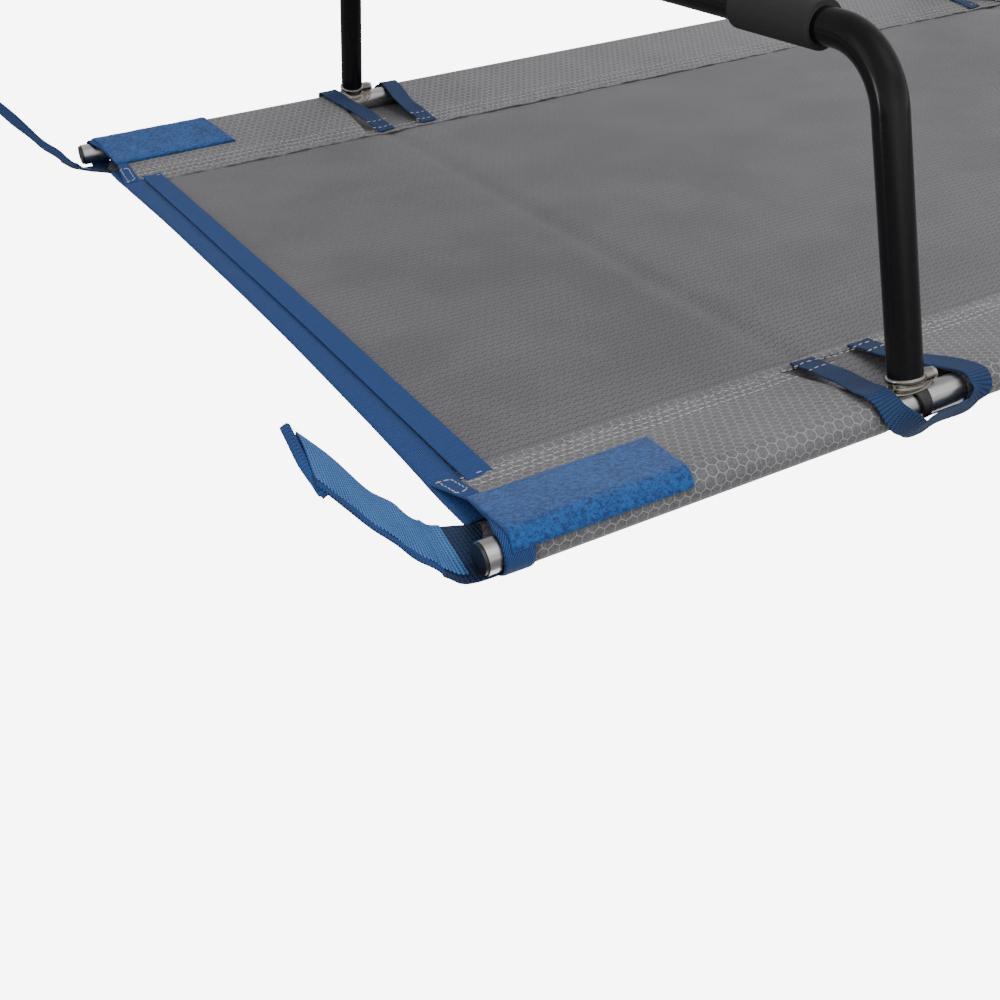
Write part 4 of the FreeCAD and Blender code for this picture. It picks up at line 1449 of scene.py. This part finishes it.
for bow, station in STATIONS.items():
    low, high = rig.box(bow + "_latch_hooks")
    shift = (low.x + high.x) / 2 / MM - station
    inward = 1 if shift > 0 else -1
    saddles = [piece for side in SIDES.values() for piece in saddle(station, side, inward)]
    attach(join(saddles, bow + "_castings"), bow + "_bow", "cast_fitting", bow + "_rail_saddles")
    hooks = [latch(station, side, shift) for side in SIDES.values()]
    attach(join(hooks, bow + "_latches"), bow + "_bow", "black_latch", bow + "_latch_hooks")
print("fittings ready")

# %% [markdown]
# ## Stitches
# Thread shows as short raised bars, so a Geometry Nodes tree lays them: it resamples a
# seam line at the stitch pitch, puts a small bar at every point, turned along the line,
# and gives each a little random turn. Pitch, length and thickness are named inputs.

# %% Stitch tree
def socket_of(tree, name):
    return next(item.identifier for item in tree.interface.items_tree if item.name == name)


def stitch_tree():
    tree = bpy.data.node_groups.new("stitch_rows", "GeometryNodeTree")
    tree.interface.new_socket("Geometry", in_out="INPUT", socket_type="NodeSocketGeometry")
    for name, kind, default in (("Pitch", "NodeSocketFloat", 0.004),
                                ("Length", "NodeSocketFloat", 0.003),
                                ("Thickness", "NodeSocketFloat", 0.0004),
                                ("Thread", "NodeSocketMaterial", None),
                                ("Seed", "NodeSocketInt", 7)):
        made = tree.interface.new_socket(name, in_out="INPUT", socket_type=kind)
        if default is not None:
            made.default_value = default
    tree.interface.new_socket("Geometry", in_out="OUTPUT", socket_type="NodeSocketGeometry")

    def add(kind, **settings):
        made = tree.nodes.new(kind)
        for key, value in settings.items():
            setattr(made, key, value)
        return made

    given, result = add("NodeGroupInput"), add("NodeGroupOutput")
    curve = add("GeometryNodeMeshToCurve")
    spaced = add("GeometryNodeResampleCurve")
    mode = spaced.inputs.get("Mode")
    if mode is None:
        spaced.mode = "LENGTH"
    else:
        mode.default_value = "Length"
    bar = add("GeometryNodeMeshUVSphere")
    bar.inputs["Segments"].default_value = 6
    bar.inputs["Rings"].default_value = 4
    bar.inputs["Radius"].default_value = 0.5
    size = add("ShaderNodeCombineXYZ")
    shape = add("GeometryNodeTransform")
    smooth = add("GeometryNodeSetShadeSmooth")
    tangent = add("GeometryNodeInputTangent")
    aim = add("FunctionNodeAlignRotationToVector", axis="Z")
    jitter = add("FunctionNodeRandomValue", data_type="FLOAT_VECTOR")
    jitter.inputs[0].default_value = (-0.13, -0.13, -0.13)
    jitter.inputs[1].default_value = (0.13, 0.13, 0.13)
    turn = add("FunctionNodeRotateRotation", rotation_space="LOCAL")
    on_line = add("GeometryNodeInstanceOnPoints")
    whole = add("GeometryNodeRealizeInstances")
    painted = add("GeometryNodeSetMaterial")
    for source, output, target, entry in (
            (given, "Geometry", curve, "Mesh"),
            (curve, "Curve", spaced, "Curve"),
            (given, "Pitch", spaced, "Length"),
            (given, "Thickness", size, "X"),
            (given, "Thickness", size, "Y"),
            (given, "Length", size, "Z"),
            (bar, "Mesh", shape, "Geometry"),
            (size, "Vector", shape, "Scale"),
            (shape, "Geometry", smooth, "Geometry"),
            (tangent, "Tangent", aim, "Vector"),
            (given, "Seed", jitter, "Seed"),
            (aim, "Rotation", turn, "Rotation"),
            (jitter, 0, turn, "Rotate By"),
            (spaced, "Curve", on_line, "Points"),
            (smooth, "Geometry", on_line, "Instance"),
            (turn, "Rotation", on_line, "Rotation"),
            (on_line, "Instances", whole, "Geometry"),
            (whole, "Geometry", painted, "Geometry"),
            (given, "Thread", painted, "Material"),
            (painted, "Geometry", result, "Geometry")):
        tree.links.new(source.outputs[output], target.inputs[entry])
    return tree


STITCHES = stitch_tree()


def sew(name, lines, thread, pitch=4.2, length=3.3, thickness=0.75, seed=7):
    """Bars along lines of points given in metres; one plain mesh comes back."""
    points, edges = [], []
    for line in lines:
        start = len(points)
        points += line
        edges += [(start + k, start + k + 1) for k in range(len(line) - 1)]
    mesh = bpy.data.meshes.new(name)
    mesh.from_pydata([tuple(point) for point in points], edges, [])
    thing = show(bpy.data.objects.new(name, mesh))
    modifier = thing.modifiers.new("stitches", "NODES")
    modifier.node_group = STITCHES
    for key, value in (("Pitch", pitch * MM), ("Length", length * MM),
                       ("Thickness", thickness * MM), ("Thread", thread), ("Seed", seed)):
        modifier[socket_of(STITCHES, key)] = value
    thing = bake_modifiers(thing)
    print(name, len(thing.data.polygons), "faces")
    return thing


# %% [markdown]
# ## Seam rows
# Three rows close each sleeve. The row nearest the hem runs the whole length, and the
# other two stop at the cut-outs, where the sleeve is open.

# %% Seam rows beside the panel
SEAM_ROWS = ((3.0, 0.9), (9.5, 0.8), (15.5, 0.8))
STITCH_STAND = 0.62


def seam_lines(side, distance, wander):
    """One row along a sleeve at a distance from its hem, broken at the cut-outs."""
    spans, start = [], -RAIL_END / MM + SLEEVE_START + 3
    for low, high in sorted(CUTS):
        spans.append((start, low - 1.5))
        start = high + 1.5
    spans.append((start, RAIL_END / MM - SLEEVE_START - 3))
    if distance < 6.0:
        spans = [(spans[0][0], spans[-1][1])]
    lines = []
    for first, last in spans:
        line = []
        for x in np.linspace(first, last, max(3, int((last - first) / 3))):
            inward = SEAM_IN - distance + 0.6 * wander * math.sin(x * 0.09 + distance)
            stand = push_out("flap", inward, x, side) + STITCH_STAND
            line.append(place((RAIL_END / MM + x, *flap_point(inward, stand)), -1, side))
        lines.append(line)
    return lines


rows = [line for side in SIDES.values() for distance, wander in SEAM_ROWS
        for line in seam_lines(side, distance, wander)]
seams = sew("seam_stitches", rows, pale_thread, 4.4, 3.7, 0.8, 3)
attach(seams, "bed", "bed_fabric")

# %% [markdown]
# ## Box stitches
# A box of stitches holds each strap's corner, two short rows hold each end of a cut-out
# loop, and one row in blue thread crosses each loop pad.

# %% Box stitches and webbing ends
def flap_line(points, side, end, stand):
    """Corner points (along, in) on the sleeve's underside, as a stitched line."""
    line = []
    for (a, b), (c, d) in zip(points, points[1:]):
        for t in np.linspace(0, 1, 8, endpoint=False):
            along, inward = a + (c - a) * t, b + (d - b) * t
            line.append(place((along, *flap_point(inward, stand)), end, side))
    line.append(place((points[-1][0], *flap_point(points[-1][1], stand)), end, side))
    return line


BOX = ((16.5, 74.0), (16.5, 55.0), (22.5, 54.0), (22.5, 73.0), (16.5, 74.0))
PAD_INSET, PAD_ROW_IN = 3.0, 42.0
boxes, crossings, tape_rows = [], [], []
for end_name, side_name in CORNERS:
    end, side = ENDS[end_name], SIDES[side_name]
    boxes.append(flap_line(BOX, side, end, 1.8))
    near, far = pad_edges(0.06)
    tape_rows.append(flap_line([(near + PAD_INSET, PAD_ROW_IN), (far - PAD_INSET, PAD_ROW_IN)],
                               side, end, 2.75))
for side in SIDES.values():
    for end, station, before, after, _, _ in LOOP_PLACES:
        for centre in (station - before + 15.5, station + after + 5.0):
            for inward in (71.5, 60.0):
                crossings.append(flap_line([(centre - 7.4, inward - 1), (centre, inward + 0.5),
                                            (centre + 7.4, inward - 1)], side, end, 2.15))
corner_thread = sew("corner_stitches", boxes + crossings, pale_thread, 3.9, 3.4, 0.8, 5)
attach(corner_thread, "bed", "bed_fabric")
pad_thread = sew("pad_stitches", tape_rows, blue_thread, 2.6, 2.1, 0.6, 9)
attach(pad_thread, "bed", "loop_pile")

# %% Sizes and finish
with open("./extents.json", "w") as sizes:
    json.dump({"cad": [list(corner) for corner in cad_box],
               "visual": [list(corner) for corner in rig.bounds()]}, sizes)
